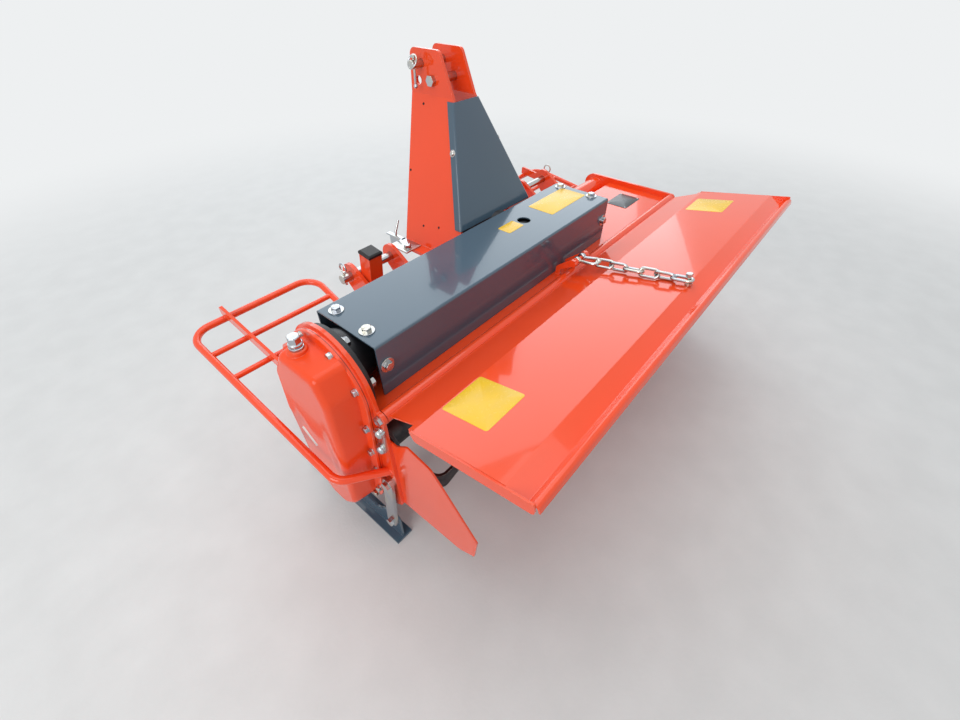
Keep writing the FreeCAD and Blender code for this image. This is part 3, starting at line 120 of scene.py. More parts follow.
def copies(shape, places, normals, turn=0.0):
    """One shape at many places. Its z axis goes along each normal: with a and b two unit
    vectors square to the normal n, a point (x, y, z) goes to place + x a + y b + z n."""
    points, faces = shape
    places = np.atleast_2d(np.asarray(places, dtype=float))
    n = unit(np.broadcast_to(np.asarray(normals, dtype=float), places.shape))
    a = unit(np.cross(np.where(np.abs(n[:, 2:]) < 0.9, UP, RIGHT), n))
    b = np.cross(n, a)
    c, s = np.cos(turn), np.sin(turn)
    basis = np.stack([a * c + b * s, b * c - a * s, n], axis=1)
    moved = np.einsum("vi,kij->kvj", points, basis) + places[:, None, :]
    starts = np.arange(len(places))[:, None, None] * len(points)
    return moved.reshape(-1, 3), (faces[None] + starts).reshape(-1, 4)


def in_scene(name, data):
    """A new object that shows the data, linked into the scene."""
    made = bpy.data.objects.new(name, data)
    bpy.context.scene.collection.objects.link(made)
    return made


def add_piece(name, shapes, finish, body, replaces=(), sharp=38.0):
    """A mesh object in the frame from shapes in drawing millimetres. Doubled points are
    merged, which closes seams and poles, and folds over the sharp angle stay crisp."""
    points, faces = joined(shapes)
    mesh = bpy.data.meshes.new(name)
    mesh.from_pydata(metres(points).tolist(), [], faces.tolist())
    work = bmesh.new()
    work.from_mesh(mesh)
    bmesh.ops.remove_doubles(work, verts=work.verts, dist=1e-6)
    bmesh.ops.recalc_face_normals(work, faces=work.faces)
    work.to_mesh(mesh)
    work.free()
    mesh.shade_smooth()
    mesh.set_sharp_from_angle(angle=math.radians(sharp))
    mesh.materials.append(finish.material)
    piece = in_scene(name, mesh)
    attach(piece, body)
    if replaces:
        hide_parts(*replaces)
    print(name, len(mesh.polygons), "faces")


# %% [markdown]
# ## Shader sums that read like sums
# A finish is a web of nodes. Drawn by hand it is quick to look at and slow to change.
# Here a small class stands for a socket, and plus, minus and times on it add the Math
# nodes, so a formula in the script is the formula in the shader. Every other node comes
# from one method, which takes its type, its settings and what feeds its sockets.

# %% Sockets with arithmetic
class Value:
    """A socket of a finish; sums on it write Math nodes."""

    def __init__(self, finish, socket):
        self.finish, self.socket = finish, socket

    def sum(self, operation, *terms, clamp=False):
        """One Math node over the terms, held in 0 to 1 where clamp is set."""
        return self.finish.node("Math", {"operation": operation, "use_clamp": clamp}, dict(enumerate(terms)))

    def __add__(self, other):
        return self.sum("ADD", self, other)

    def __sub__(self, other):
        return self.sum("SUBTRACT", self, other)

    def __rsub__(self, other):
        return self.sum("SUBTRACT", other, self)

    def __mul__(self, other):
        return self.sum("MULTIPLY", self, other)

    def __abs__(self):
        return self.sum("ABSOLUTE", self)

    __radd__, __rmul__ = __add__, __mul__

    def over(self, edge, blend):
        """0 below the edge, rising to 1 over the blend: (value - edge) / blend, held in 0 to 1."""
        return self.sum("MULTIPLY", self - edge, 1.0 / blend, clamp=True)


class Finish:
    """A material or the world, the one method that adds a node to it, and its usual patterns."""

    def __init__(self, name, kind=bpy.data.materials):
        self.material = kind.new(name)
        self.material.use_nodes = True
        self.tree = self.material.node_tree
        self.tree.nodes.clear()
        self.place = self.node("TexCoord", output="Object")

    def node(self, kind, settings=None, inputs=None, output=0):
        """Adds a node: its settings first, then numbers or Values into its sockets. An output
        node has no socket to go on from, so the finish itself comes back."""
        made = self.tree.nodes.new("ShaderNode" + kind)
        for key, value in (settings or {}).items():
            setattr(made, key, value)
        for socket, value in (inputs or {}).items():
            if isinstance(value, Value):
                self.tree.links.new(value.socket, made.inputs[socket])
            else:
                made.inputs[socket].default_value = value
        return Value(self, made.outputs[output]) if made.outputs else self

    def noise(self, scale, detail=3.0, stretch=None):
        """Cloudy pattern, about 1/scale metres across, drawn out along an axis by a low stretch."""
        place = self.place
        if stretch:
            place = self.node("Mapping", inputs={"Vector": place, "Scale": stretch})
        return self.node("TexNoise", inputs={"Vector": place, "Scale": scale, "Detail": detail})

    def mix(self, factor, first, second):
        """Colour between two colours; factor 0 gives the first."""
        return self.node("Mix", {"data_type": "RGBA"}, {0: factor, 6: first, 7: second}, output=2)

    def axis(self, index):
        """Place along x, y or z, as index 0, 1 or 2."""
        return self.node("SeparateXYZ", inputs={0: self.place}, output=index)

    def soft_normal(self, radius):
        """Normal as if every edge were rounded by the radius."""
        return self.node("Bevel", {"samples": 4}, {"Radius": radius})

    def edges(self, radius):
        """1 on outer and inner edges, 0 on open faces: how far the rounded normal leaves the flat one."""
        flat = self.node("NewGeometry", output="True Normal")
        along = self.node("VectorMath", {"operation": "DOT_PRODUCT"},
                          {0: self.soft_normal(radius), 1: flat}, output="Value")
        return (1.0 - along).over(0.04, 0.35)

    def bump(self, height, depth, normal=None):
        """Relief: height 0 to 1 stands for 0 to depth metres."""
        inputs = {"Height": height, "Distance": depth}
        if normal is not None:
            inputs["Normal"] = normal
        return self.node("Bump", inputs=inputs)

    def surface(self, colour, roughness, normal, metallic=0.0, **fixed):
        """A Principled shader from what changes over the surface and the numbers that don't."""
        inputs = {"Base Color": colour, "Roughness": roughness, "Metallic": metallic, "Normal": normal}
        return self.node("BsdfPrincipled", inputs={**inputs, **fixed}, output="BSDF")

    def shade(self, *looks, **fixed):
        """Closes the finish with one Principled shader."""
        return self.node("OutputMaterial", inputs={"Surface": self.surface(*looks, **fixed)})


def srgb(red, green, blue):
    """Linear colour of a screen colour in 0 to 255: ((c + 0.055) / 1.055) to the power 2.4."""
    c = np.array([red, green, blue]) / 255.0
    linear = np.where(c <= 0.04045, c / 12.92, ((c + 0.055) / 1.055) ** 2.4)
    return (*linear.tolist(), 1.0)


# %% [markdown]
# ## Gloss paint
# Most of the machine is sprayed with glossy orange enamel, and the cover, shield and
# skids with a dark blue-grey one. Even new paint isn't one colour: it drifts a little in
# shade and is faintly rippled like orange peel, and its edges are painted lighter, partly
# for thinner paint and partly as a painted highlight. A clear coat on the shader gives the
# sharp second gloss of enamel. One function gives all this and only the colours change.
# The solids have sharp edges and folds, so the shader rounds them. The casting's paint lies
# on a rougher skin and shines less, and the flange has a dark joint line round its edge.

# %% Painted finishes
def painted(name, colour, edge_and_highlight_colour, gloss, fold=0.0016, joint_x=None, coat=0.6):
    """Enamel: its shade drifts by 7 percent over a hand's width and its gloss by a little;
    edges are lighter by half their mask, for thinner paint and as a painted highlight;
    the relief is a ripple of a few hundredths of a mm."""
    f = Finish(name)
    deep = tuple(0.93 * c for c in colour[:3]) + (1.0,)
    base = f.mix(f.noise(6.0).over(0.3, 0.5), deep, colour)
    # Edges get the lighter colour: partly thinner paint, partly a painted highlight.
    base = f.mix(f.edges(0.0015) * 0.5, base, edge_and_highlight_colour)
    rough = gloss + f.noise(70.0, 4.0).over(0.45, 0.4) * 0.035
    normal = f.bump(f.noise(300.0, 2.0), 0.00003, f.soft_normal(fold))
    if joint_x is not None:
        line = 1.0 - abs(f.axis(0) - joint_x).over(0.0004, 0.0005)
        base = f.mix(line * 0.85, base, srgb(96, 26, 14))
    fixed = {"Specular IOR Level": 0.25, "Coat Weight": coat, "Coat Roughness": 0.04}
    return f.shade(base, rough, normal, **fixed)


# The second colour of each enamel is its edge colour: thinner paint and a painted highlight.
ORANGE, ORANGE_EDGE_AND_HIGHLIGHT, FLANGE_JOINT_X = srgb(248, 78, 32), srgb(252, 146, 106), -0.6436
orange = painted("orange_enamel", ORANGE, ORANGE_EDGE_AND_HIGHLIGHT, 0.15)
grey = painted("blue_grey_enamel", srgb(76, 97, 113), srgb(128, 146, 160), 0.15, fold=0.003)
cast_orange = painted("orange_on_casting", ORANGE, ORANGE_EDGE_AND_HIGHLIGHT, 0.24, coat=0.2)
flange_orange = painted("orange_enamel_with_joint", ORANGE, ORANGE_EDGE_AND_HIGHLIGHT, 0.15, joint_x=FLANGE_JOINT_X)
print("enamels ready")


# %% [markdown]
# ## Plated, bare and cast metal
# Bolts, pins and the chain are zinc plated: bright, a little blue and yellow in patches,
# and mottled in gloss. The input shaft is bare turned steel with fine rings. The gearbox
# and the drum are cast, so their black paint lies over a grainy skin. Tines wear dark.

# %% Metal finishes
def zinc_plate():
    """Bright metal whose tint and roughness follow two cloud patterns."""
    f = Finish("zinc_plate")
    base = f.mix(f.noise(34.0, 4.0).over(0.42, 0.3), srgb(186, 190, 196), srgb(202, 198, 184))
    base = f.mix(f.noise(300.0, 4.0).over(0.6, 0.2) * 0.2, base, srgb(146, 146, 148))
    rough = 0.15 + f.noise(90.0, 4.0).over(0.35, 0.4) * 0.12
    normal = f.bump(f.noise(600.0, 3.0), 0.00003, f.soft_normal(0.0007))
    return f.shade(base, rough, normal, metallic=1.0)


def turned_steel():
    """Bare steel with fine turning rings across the shaft."""
    f = Finish("turned_steel")
    rings = f.noise(60.0, 4.0, stretch=(1.0, 60.0, 1.0))
    base = f.mix(rings.over(0.3, 0.4), srgb(150, 148, 146), srgb(196, 194, 190))
    normal = f.bump(rings, 0.00005, f.soft_normal(0.0008))
    return f.shade(base, 0.26 + rings * 0.14, normal, metallic=1.0)


def cast_black():
    """Black paint over a grainy casting, greyer on its edges."""
    f = Finish("black_casting")
    grain = f.noise(420.0, 5.0)
    base = f.mix(f.noise(12.0).over(0.35, 0.4), srgb(28, 28, 31), srgb(40, 41, 45))
    base = f.mix(f.edges(0.002) * 0.6, base, srgb(92, 93, 96))
    normal = f.bump(grain, 0.0004, f.soft_normal(0.0025))
    return f.shade(base, 0.30 + grain * 0.22, normal)


def worked_steel():
    """Tine steel: dark mill scale, brighter where edges have been ground or rubbed."""
    f = Finish("tine_steel")
    scale = f.noise(45.0, 6.0).over(0.4, 0.3)
    base = f.mix(scale, srgb(58, 58, 62), srgb(84, 82, 82))
    wear = f.edges(0.003) * f.noise(80.0, 4.0).over(0.3, 0.35)
    base = f.mix(wear, base, srgb(182, 178, 172))
    normal = f.bump(f.noise(190.0, 6.0), 0.0003, f.soft_normal(0.0015))
    return f.shade(base, 0.5 - wear * 0.2, normal, metallic=0.75)


zinc, steel, casting, tine_steel = zinc_plate(), turned_steel(), cast_black(), worked_steel()
print("metals ready")


# %% [markdown]
# ## Plastic, film and shadow
# The shaft's guard and the stand's cap are moulded black plastic with a fine spark
# texture. The decals and plates are thin films and carry nothing, since words and signs
# would be somebody's. Drilled holes that go nowhere are small dark discs of painted shadow.

# %% Other finishes
def moulded(name, colour, gloss):
    """Plastic: up to a quarter lighter in patches, with a spark texture a tenth of a mm deep."""
    f = Finish(name)
    spark = f.noise(1500.0, 2.0)
    base = f.mix(f.noise(20.0).over(0.35, 0.4), colour, tuple(1.25 * c for c in colour[:3]) + (1.0,))
    return f.shade(base, gloss + spark * 0.12, f.bump(spark, 0.0001, f.soft_normal(0.0012)))


def film(name, colour, gloss):
    """Thin printed film: flat colour, slightly faded in patches, glossy."""
    f = Finish(name)
    faded = tuple(min(1.0, 0.92 * c + 0.03) for c in colour[:3]) + (1.0,)
    base = f.mix(f.noise(30.0, 2.0).over(0.4, 0.3), colour, faded)
    rough = gloss + f.noise(160.0).over(0.4, 0.4) * 0.06
    return f.shade(base, rough, f.bump(f.noise(60.0, 2.0), 0.00004))


plastic = moulded("black_plastic", srgb(24, 24, 26), 0.38)
yellow_film = film("yellow_film", srgb(243, 196, 30), 0.24)
white_film = film("white_film", srgb(232, 230, 224), 0.3)
plate_film = film("dark_plate", srgb(52, 54, 58), 0.22)
hole_shadow = moulded("hole_shadow", srgb(12, 8, 8), 0.8)
print("plastic and films ready")

# %% [markdown]
# ## Dressing the solids
# The record names a slot for every solid, so the slot picks the finish. A solid whose
# look is its own, such as the flange with the joint line round its edge, is set after.

# %% Finishes of the CAD nodes
by_slot = {"orange_paint": orange, "grey_paint": grey, "cast_black": casting, "zinc": zinc,
           "bare_steel": steel, "tine_steel": tine_steel, "black_plastic": plastic}
slots = {part["node"]: part["material_slot"] for part in frame["record"]["subparts"]}
for name, thing in nodes.items():
    thing.data.materials.clear()
    thing.data.materials.append(by_slot[slots[name]].material)
nodes["case_flange"].data.materials[0] = flange_orange.material
print(len(slots), "nodes dressed in", len(by_slot), "finishes")


# %% [markdown]
# ## Outlines with round corners
# Cast and folded parts have round corners. A corner of radius r between two straight
# runs starts r / tan(half angle) before the corner. Blender's Bevel modifier could do
# it, but here the same outline also has to shrink evenly as the casting's edge rounds over.

# %% Rounded outlines and pads
def rounded(corners, radii, steps=10):
    """Closed outline in a plane. Each corner becomes an arc whose centre lies on the
    bisector, r / sin(half angle) inside the corner, swept from one run to the next."""
    corners = np.asarray(corners, dtype=float)
    r = np.broadcast_to(np.asarray(radii, dtype=float), len(corners))[:, None]
    into = unit(np.roll(corners, 1, axis=0) - corners)
    out = unit(np.roll(corners, -1, axis=0) - corners)
    half = np.arccos(np.clip(np.sum(into * out, axis=1), -1.0, 1.0))[:, None] / 2.0
    centre = corners + unit(into + out) * r / np.sin(half)
    share = np.linspace(0.0, 1.0, steps)[None, :, None]
    first = (corners + into * r / np.tan(half)) - centre
    last = (corners + out * r / np.tan(half)) - centre
    sweep = np.pi - 2.0 * half[:, None]
    blend = np.sin((1.0 - share) * sweep) * first[:, None] + np.sin(share * sweep) * last[:, None]
    return (centre[:, None] + blend / np.maximum(np.sin(sweep), 1e-6)).reshape(-1, 2)


def shrunk(outline, inset):
    """The outline moved inwards by the inset, along the normal of its two neighbours' chord."""
    ahead, behind = np.roll(outline, -1, axis=0), np.roll(outline, 1, axis=0)
    chord = unit(ahead - behind)
    inward = np.stack([-chord[:, 1], chord[:, 0]], axis=1)
    area = np.sum(outline[:, 0] * ahead[:, 1] - outline[:, 1] * ahead[:, 0])
    return outline + inward * inset * np.sign(area)


def pad(outline, thickness, edge):
    """Plate on the plane z = 0 whose upper edge is a quarter round: inset edge (1 - cos t)
    and height thickness - edge + edge sin t. Both faces close on the outline's middle."""
    t = np.linspace(0.0, np.pi / 2.0, 4)
    heights = np.concatenate([[0.0, 0.0], thickness - edge + edge * np.sin(t), [thickness]])
    insets = np.concatenate([[0.0, 0.0], edge * (1.0 - np.cos(t)), [edge]])
    shares = np.concatenate([[0.0, 1.0], np.ones(4), [0.0]])
    middle = outline.mean(axis=0)
    rings = [np.column_stack([middle + (shrunk(outline, inset) - middle) * share,
                              np.full(len(outline), height)])
             for height, inset, share in zip(heights, insets, shares)]
    return skin(np.stack(rings))


# %% [markdown]
# ## The gear case
# The side drive runs in a cast case with sloping walls. Its corners and the edge round
# its outer face are soft, as a casting leaves its mould, and the lower part of the face
# is a few millimetres lower, behind a crease. The solid has the size but crisp edges.
# The shell here is one surface: outlines stacked outwards from the flange, each a little
# smaller, then turning over in a quarter round and closing across the face.

# %% Cast shell of the gear case
case_low, case_high = drawn("gear_case")
CASE_FOOT_X, CASE_FACE_X, CASE_ROUND = case_high[0], case_low[0], 12.0
CASE_CORNERS = np.array([[-60, 572], [-77, 518], [-66, 350], [-44, 172], [-2, 130], [50, 130],
                         [96, 190], [104, 400], [84, 515], [44, 572]], dtype=float)
CASE_SPREAD = np.array([[-8, 6], [-8, 0], [-8, 0], [-8, -3], [-3, -3], [3, -3],
                        [7, -3], [4, 0], [7, 0], [8, 6]], dtype=float)
CASE_RADII = [16, 40, 60, 40, 34, 34, 40, 60, 40, 16]
CASE_MIDDLE = np.array([12.0, 352.0])
CREASE_Z, CREASE_SLOPE, CREASE_DEPTH, CREASE_BLEND = 368.0, 0.33, 2.4, 11.0


def case_shell(wall=4, turned=9, closing=36):
    """Outlines from the flange to the face. At depth d the corners have moved in by their
    spread times d over the whole depth; over the last stretch the outline also shrinks by
    r (1 - cos t) while d grows by r sin t. The face then sinks by a smooth step below the
    crease line: its depth times a blend of the distance under the line and round the edge."""
    depth = CASE_FOOT_X - CASE_FACE_X
    t = np.linspace(0.0, np.pi / 2.0, turned)
    depths = np.concatenate([np.linspace(0.0, depth - CASE_ROUND, wall + 1)[:-1],
                             depth - CASE_ROUND + CASE_ROUND * np.sin(t)])
    insets = np.concatenate([np.zeros(wall), CASE_ROUND * (1.0 - np.cos(t))])
    rings = [shrunk(rounded(CASE_CORNERS + CASE_SPREAD * (1.0 - d / depth), CASE_RADII), inset)
             for d, inset in zip(depths, insets)]
    shares = 1.0 - np.linspace(0.0, 1.0, closing)[1:] ** 0.8
    rings += [CASE_MIDDLE + (rings[-1] - CASE_MIDDLE) * share for share in shares]
    depths = np.concatenate([depths, np.full(len(shares), depth)])
    flat = np.stack(rings)
    below = np.clip((CREASE_Z + CREASE_SLOPE * flat[..., 0] - flat[..., 1]) / CREASE_BLEND, 0.0, 1.0)
    inside = np.clip((np.arange(len(rings))[:, None] - wall) / (turned - 1.0), 0.0, 1.0)
    x = CASE_FOOT_X - depths[:, None] + CREASE_DEPTH * below ** 2 * (3.0 - 2.0 * below) * inside
    return skin(np.concatenate([x[..., None], flat], axis=-1))


# %% [markdown]
# ## Turned shapes
# Bosses, domes and rings are all turned: a profile goes round an axis. The case has two
# bosses, one on its top for the filler plug and one under it for the drain, and a short
# fillet runs out from the foot of each, as in any casting.

# %% Shell with its bosses
def round_angles(count):
    """Even angles once round."""
    return np.arange(count) * 2.0 * np.pi / count


def lathe(profile, count=32):
    """Surface turned about z from rows of (radius, height)."""
    profile = np.asarray(profile, dtype=float)
    angle = round_angles(count)
    r, h = profile[:, :1], profile[:, 1:]
    return skin(np.stack([r * np.cos(angle), r * np.sin(angle), h + 0.0 * angle], axis=-1))


FILLER, DRAIN = np.array([-678.0, 22.0, 0.0]), np.array([-678.0, 16.0, 0.0])
filler_boss = lathe([(0, 562), (25, 562), (23.5, 571.6), (20.4, 572.6), (18.5, 574.5),
                     (18, 577), (18, 581), (17.2, 582), (0, 582)], 48)
drain_boss = lathe([(0, 140), (15, 140), (14, 132), (14, 125), (13.2, 124), (0, 124)])
add_piece("gear_case_shell", [case_shell(), copies(filler_boss, FILLER, UP), copies(drain_boss, DRAIN, UP)],
          cast_orange, "frame", ["gear_case"], sharp=60.0)


# %% [markdown]
# ## Bolts
# A bolt head is a hexagon whose corners are turned off to a cone, often over a washer.
# Its outline is one formula: at angle t from the middle of a flat the hexagon's side is
# half the width across flats divided by cos t, and the chamfer is where a circle is
# smaller than that. Fitting each by hand would hide that they are all one family.

# %% Bolt heads and dome nuts
def bolt_head(across, height, washer=0.0, washer_t=2.0, count=36):
    """Rows of (radius of a circle, height); at each angle the smaller of the circle and
    the hexagon counts, except on the washer's rows. It starts 1 mm inside its seat."""
    angle = round_angles(count)
    side = across / 2.0 / np.cos((angle + np.pi / 6.0) % (np.pi / 3.0) - np.pi / 6.0)
    corner = across / math.sqrt(3.0)
    base = washer_t if washer else 0.0
    rows = [(0.0, -1.0), (corner, -1.0)]
    if washer:
        rows = [(0.0, -1.0), (washer, -1.0), (washer, base - 0.4), (washer - 0.5, base)]
    on_washer = len(rows) if washer else 0
    rows += [(corner, base), (corner, base + height * 0.74), (corner * 0.93, base + height * 0.9),
             (across * 0.46, base + height), (0.0, base + height)]
    circle, level = np.array(rows).T[:, :, None]
    radius = np.minimum(circle, side)
    radius[:on_washer] = circle[:on_washer]
    return skin(np.stack([radius * np.cos(angle), radius * np.sin(angle), level + 0.0 * angle], axis=-1))


def dome(radius, height, collar=0.0):
    """Round head: a quarter ellipse over a short wall, on a flat collar if one is given."""
    t = np.linspace(0.0, np.pi / 2.0, 7)
    base, wall = (1.6 if collar else 0.0), height * 0.2
    foot = [(collar, -1.0), (collar, 1.2), (radius, base)] if collar else [(radius, -1.0)]
    top = np.column_stack([radius * np.cos(t), base + wall + (height - wall) * np.sin(t)])
    return lathe(np.concatenate([[(0.0, -1.0)], foot, top]))


# %% [markdown]
# ## Plugs of the gear case
# Oil goes in through a plug on the upper boss and out through one under the case. Each
# is a hexagon, the upper one on a turned collar. The solid plugs carry the cast boss as
# well, so they are drawn again here as plated metal only.

# %% Filler and drain plug
COLLAR_TOP_Z, DRAIN_FOOT_Z = 594.0, 124.0
plug_low, plug_high = drawn("case_plugs")
collar = lathe([(0, 581.5), (13.5, 581.5), (13.5, 586.2), (12.7, 587), (10.6, 587.4), (10.6, 589),
                (12.6, 589.4), (13, 590.2), (13, 593), (12, COLLAR_TOP_Z), (0, COLLAR_TOP_Z)])
filler_hex = bolt_head(21.0, plug_high[2] - COLLAR_TOP_Z)
drain_hex = bolt_head(19.0, DRAIN_FOOT_Z - plug_low[2])
add_piece("plug_heads", [copies(collar, FILLER, UP),
                         copies(filler_hex, FILLER + COLLAR_TOP_Z * UP, UP, 0.2),
                         copies(drain_hex, DRAIN + DRAIN_FOOT_Z * UP, -UP, 0.3)],
          zinc, "frame", ["case_plugs"])


# %% [markdown]
# ## Flange of the gear case
# The case sits on a thick flange that is a belt round two circles: a smaller one round
# the rotor's axis and a larger one a little under the drive's. Its sides are straight and
# touch both. The solid has a straight belt with a disc on it, and the real one tapers.

# %% Tapered flange
def circle_points(middle, radius, angles):
    """Points on a circle in a plane: its middle plus the radius times (cos, sin)."""
    return np.asarray(middle) + radius * np.column_stack([np.cos(angles), np.sin(angles)])


def at_x(x, flat):
    """Places in space from rows of (y, z), all at one x."""
    return np.column_stack([np.full(len(flat), x), flat])


def belt(low_middle, low_r, high_middle, high_r, steps=40):
    """Outline round two circles. The sides leave each circle where its radius is square to
    them, which is at the angle arcsin of (R - r) over the distance from straight across."""
    way = high_middle - low_middle
    lean = np.pi / 2.0 + math.asin((high_r - low_r) / np.linalg.norm(way))
    axis = math.atan2(way[1], way[0])
    over = np.linspace(axis - lean, axis + lean, steps)
    under = np.linspace(axis + lean, axis + 2.0 * np.pi - lean, steps)
    return np.concatenate([circle_points(high_middle, high_r, over),
                           circle_points(low_middle, low_r, under)])


ROTOR, ARCH = np.array([16.0, 222.0]), np.array([8.0, 485.0])
flange_low, flange_high = drawn("case_flange")
ARCH_R = (flange_high[1] - flange_low[1]) / 2.0
FOOT_R = ROTOR[1] - flange_low[2]
points, faces = pad(belt(ROTOR, FOOT_R, ARCH, ARCH_R), flange_high[0] - flange_low[0], 1.5)
flange = np.column_stack([flange_high[0] - points[:, 2], points[:, :2]])
add_piece("case_flange_plate", [(flange, faces)], flange_orange, "frame", ["case_flange"])

# %% [markdown]
# ## Drum of the drive tube
# The tube that carries the drive ends in a flanged drum on the side plate, and a cone
# leads from one to the other. The drum sits a little lower than the tube, and its foot
# ends on the hood, so every point below the hood's sheet is lifted to it.

# %% Drive tube with its drum
tube_low, tube_high = drawn("drive_tube")
HOOD_Z = drawn("hood_sheet")[1][2]
DRUM, DRUM_R, DRUM_T, DRIVE_Z = np.array([ARCH[0], 497.0]), 98.0, 14.0, 515.0
drum_profile = [(0, 0), (DRUM_R, 0), (DRUM_R, DRUM_T - 1.5), (DRUM_R - 1.5, DRUM_T), (0, DRUM_T)]
tube_length = tube_high[0] - tube_low[0]
tube_profile = [(0, 1), (69.0, 1), (69.0, DRUM_T), (46.0, DRUM_T + 50.0), (46.0, tube_length - 14.0),
                (50.0, tube_length - 14.0), (50.0, tube_length), (0, tube_length)]
drum = copies(lathe(drum_profile, 96), (tube_low[0], *DRUM), RIGHT)
tube = copies(lathe(tube_profile, 64), (tube_low[0], DRUM[0], DRIVE_Z), RIGHT)
drum_points, drum_faces = joined([drum, tube])
drum_points[:, 2] = np.maximum(drum_points[:, 2], HOOD_Z - 1.0)
add_piece("drive_drum", [(drum_points, drum_faces)], casting, "frame", ["drive_tube"])

# %% [markdown]
# ## Bolts round the gear case and under the drum
# The case is bolted through its flange at about every 75 mm, and the drum of the drive
# tube to the other side of the same plate. The bolts keep their distance from the
# flange's edge, on its straight sides and on its round top.

# %% Flange bolts
side_z = np.array([426.0, 350.0, 281.0, 205.0])
rise = (side_z - ROTOR[1]) / (ARCH[1] - ROTOR[1])
side_y = ROTOR[0] + (ARCH[0] - ROTOR[0]) * rise
side_r = FOOT_R + (ARCH_R - FOOT_R) * rise - 9.5
flange_bolts = np.concatenate([circle_points(ARCH, ARCH_R - 10.5, np.radians([22.0, 63.0, 115.0, 158.0])),
                               np.column_stack([side_y - side_r, side_z]),
                               np.column_stack([side_y + side_r, side_z]),
                               circle_points(ROTOR, FOOT_R - 10.0, np.radians([-38.0, -142.0]))])
small_bolt = bolt_head(13.0, 7.0, washer=8.2, washer_t=1.6)
add_piece("case_bolts", [copies(small_bolt, at_x(flange_low[0], flange_bolts), -RIGHT, 0.4)],
          zinc, "frame")

drum_bolts = circle_points(DRUM, 84.0, np.radians([-8.0, 51.0, 111.0, 171.0]))
large_bolt = bolt_head(17.0, 9.0, washer=12.0)
add_piece("drum_nuts", [copies(large_bolt, at_x(tube_low[0] + DRUM_T, drum_bolts), RIGHT, 0.2)],
          zinc, "frame")

# %% [markdown]
# ## Bolts of the cover, the bearing and the gearbox
# The cover is held by hexagon screws with wide pressed flanges, on its top and on both
# its walls. The right bearing and the gearbox's input face have plain ones.

# %% Cover, bearing and gearbox bolts
cover_low, cover_high = drawn("drive_cover")
cover_top = [(x, y, cover_high[2]) for x, y in ((-569, -30), (-567, 64), (215, -34), (215, 67))]
wide_screw = bolt_head(17.0, 7.5, washer=15.0, washer_t=2.4, count=48)
add_piece("cover_screws", [copies(wide_screw, cover_top, UP)]
          + [copies(wide_screw, [(x, y, z) for x, z in ((-573, 528), (215, 522))], way, 0.3)
             for y, way in ((cover_low[1], -FRONT), (cover_high[1], FRONT))], zinc, "frame")

BEARING_T, INPUT_FACE_Y = 12.0, 164.0
bearing_x = drawn("rotor_bearing_right")[0][0] + BEARING_T
bearing_bolts = at_x(bearing_x, circle_points(ROTOR, 55.0, round_angles(6) + np.pi / 6.0))
boss_bolts = np.insert(circle_points((0.0, DRIVE_Z), 41.0, round_angles(6)), 1, INPUT_FACE_Y, axis=1)
add_piece("bearing_bolts", [copies(bolt_head(13.0, 7.0, washer=8.2), bearing_bolts, RIGHT),
                            copies(bolt_head(10.0, 5.0, count=24), boss_bolts, FRONT)],
          zinc, "frame")

# %% [markdown]
# ## Bolts of the tines
# Every tine has two bolts through the disc, with nuts on its other face. The rotor turns,
# so these ride on it. The solid's rule for the tines gives their places again: six discs,
# four tines each, a step of 25 degrees from one disc to the next. Tines on the outer
# discs all bend inwards, so their bolts are on the inner face.

# %% Tine bolts
DISCS, TINES, DISC_END_X, DISC_STEP = 6, 4, 573.0, 25.0
disc = np.repeat(np.arange(DISCS), TINES)
arm = np.tile(np.arange(TINES), DISCS)
side = np.where(arm % 2 == 0, 1.0, -1.0)
side = np.where(disc == 0, 1.0, np.where(disc == DISCS - 1, -1.0, side))
turn = np.radians(disc * DISC_STEP + arm * 360.0 / TINES)
disc_x = -DISC_END_X + disc * (2.0 * DISC_END_X / (DISCS - 1.0))
outward = side[:, None] * RIGHT
tine_bolt = bolt_head(15.0, 7.0, count=24)
shapes = []
for seat, way in ((11.0, outward), (-4.0, -outward)):
    for reach in (57.0, 76.0):
        places = circle_points(ROTOR, reach, turn + np.pi / 2.0)
        shapes.append(copies(tine_bolt, np.column_stack([disc_x + side * seat, places]), way))
add_piece("tine_bolts", shapes, zinc, "rotor")


# %% [markdown]
# ## The tailgate
# The tailgate is one sheet, folded up along a line behind the hinge and given a trough
# along its rear edge that makes it stiff. Folds in 3 mm sheet have a round outside, which
# is what catches the light. The solid's folds are sharp, so the sheet is drawn again: its
# line is rounded at each fold, and both faces are that line moved along its normals.

# %% Folded sheets
def folded(line, radius, steps=9):
    """Open line with an arc of the radius at each inner corner, as (points, normals). The
    arc leaves each run at r tan(turn / 2) from the corner and keeps square to it."""
    line = np.asarray(line, dtype=float)
    run = unit(np.diff(line, axis=0))
    a, b = run[:-1], run[1:]
    turn = np.arctan2(a[:, 0] * b[:, 1] - a[:, 1] * b[:, 0], np.sum(a * b, axis=1))[:, None]
    lead = line[1:-1] - a * radius * np.abs(np.tan(turn / 2.0))
    start = np.arctan2(a[:, 1], a[:, 0])[:, None]
    heading = start + turn * np.linspace(0.0, 1.0, steps)
    reach = radius * np.sign(turn)
    y = lead[:, :1] + reach * (np.sin(heading) - np.sin(start))
    z = lead[:, 1:] - reach * (np.cos(heading) - np.cos(start))
    points = np.concatenate([line[:1], np.stack([y, z], axis=-1).reshape(-1, 2), line[-1:]])
    headings = np.concatenate([[heading[0, 0]], heading.reshape(-1), [heading[-1, -1]]])
    return points, np.column_stack([-np.sin(headings), np.cos(headings)])


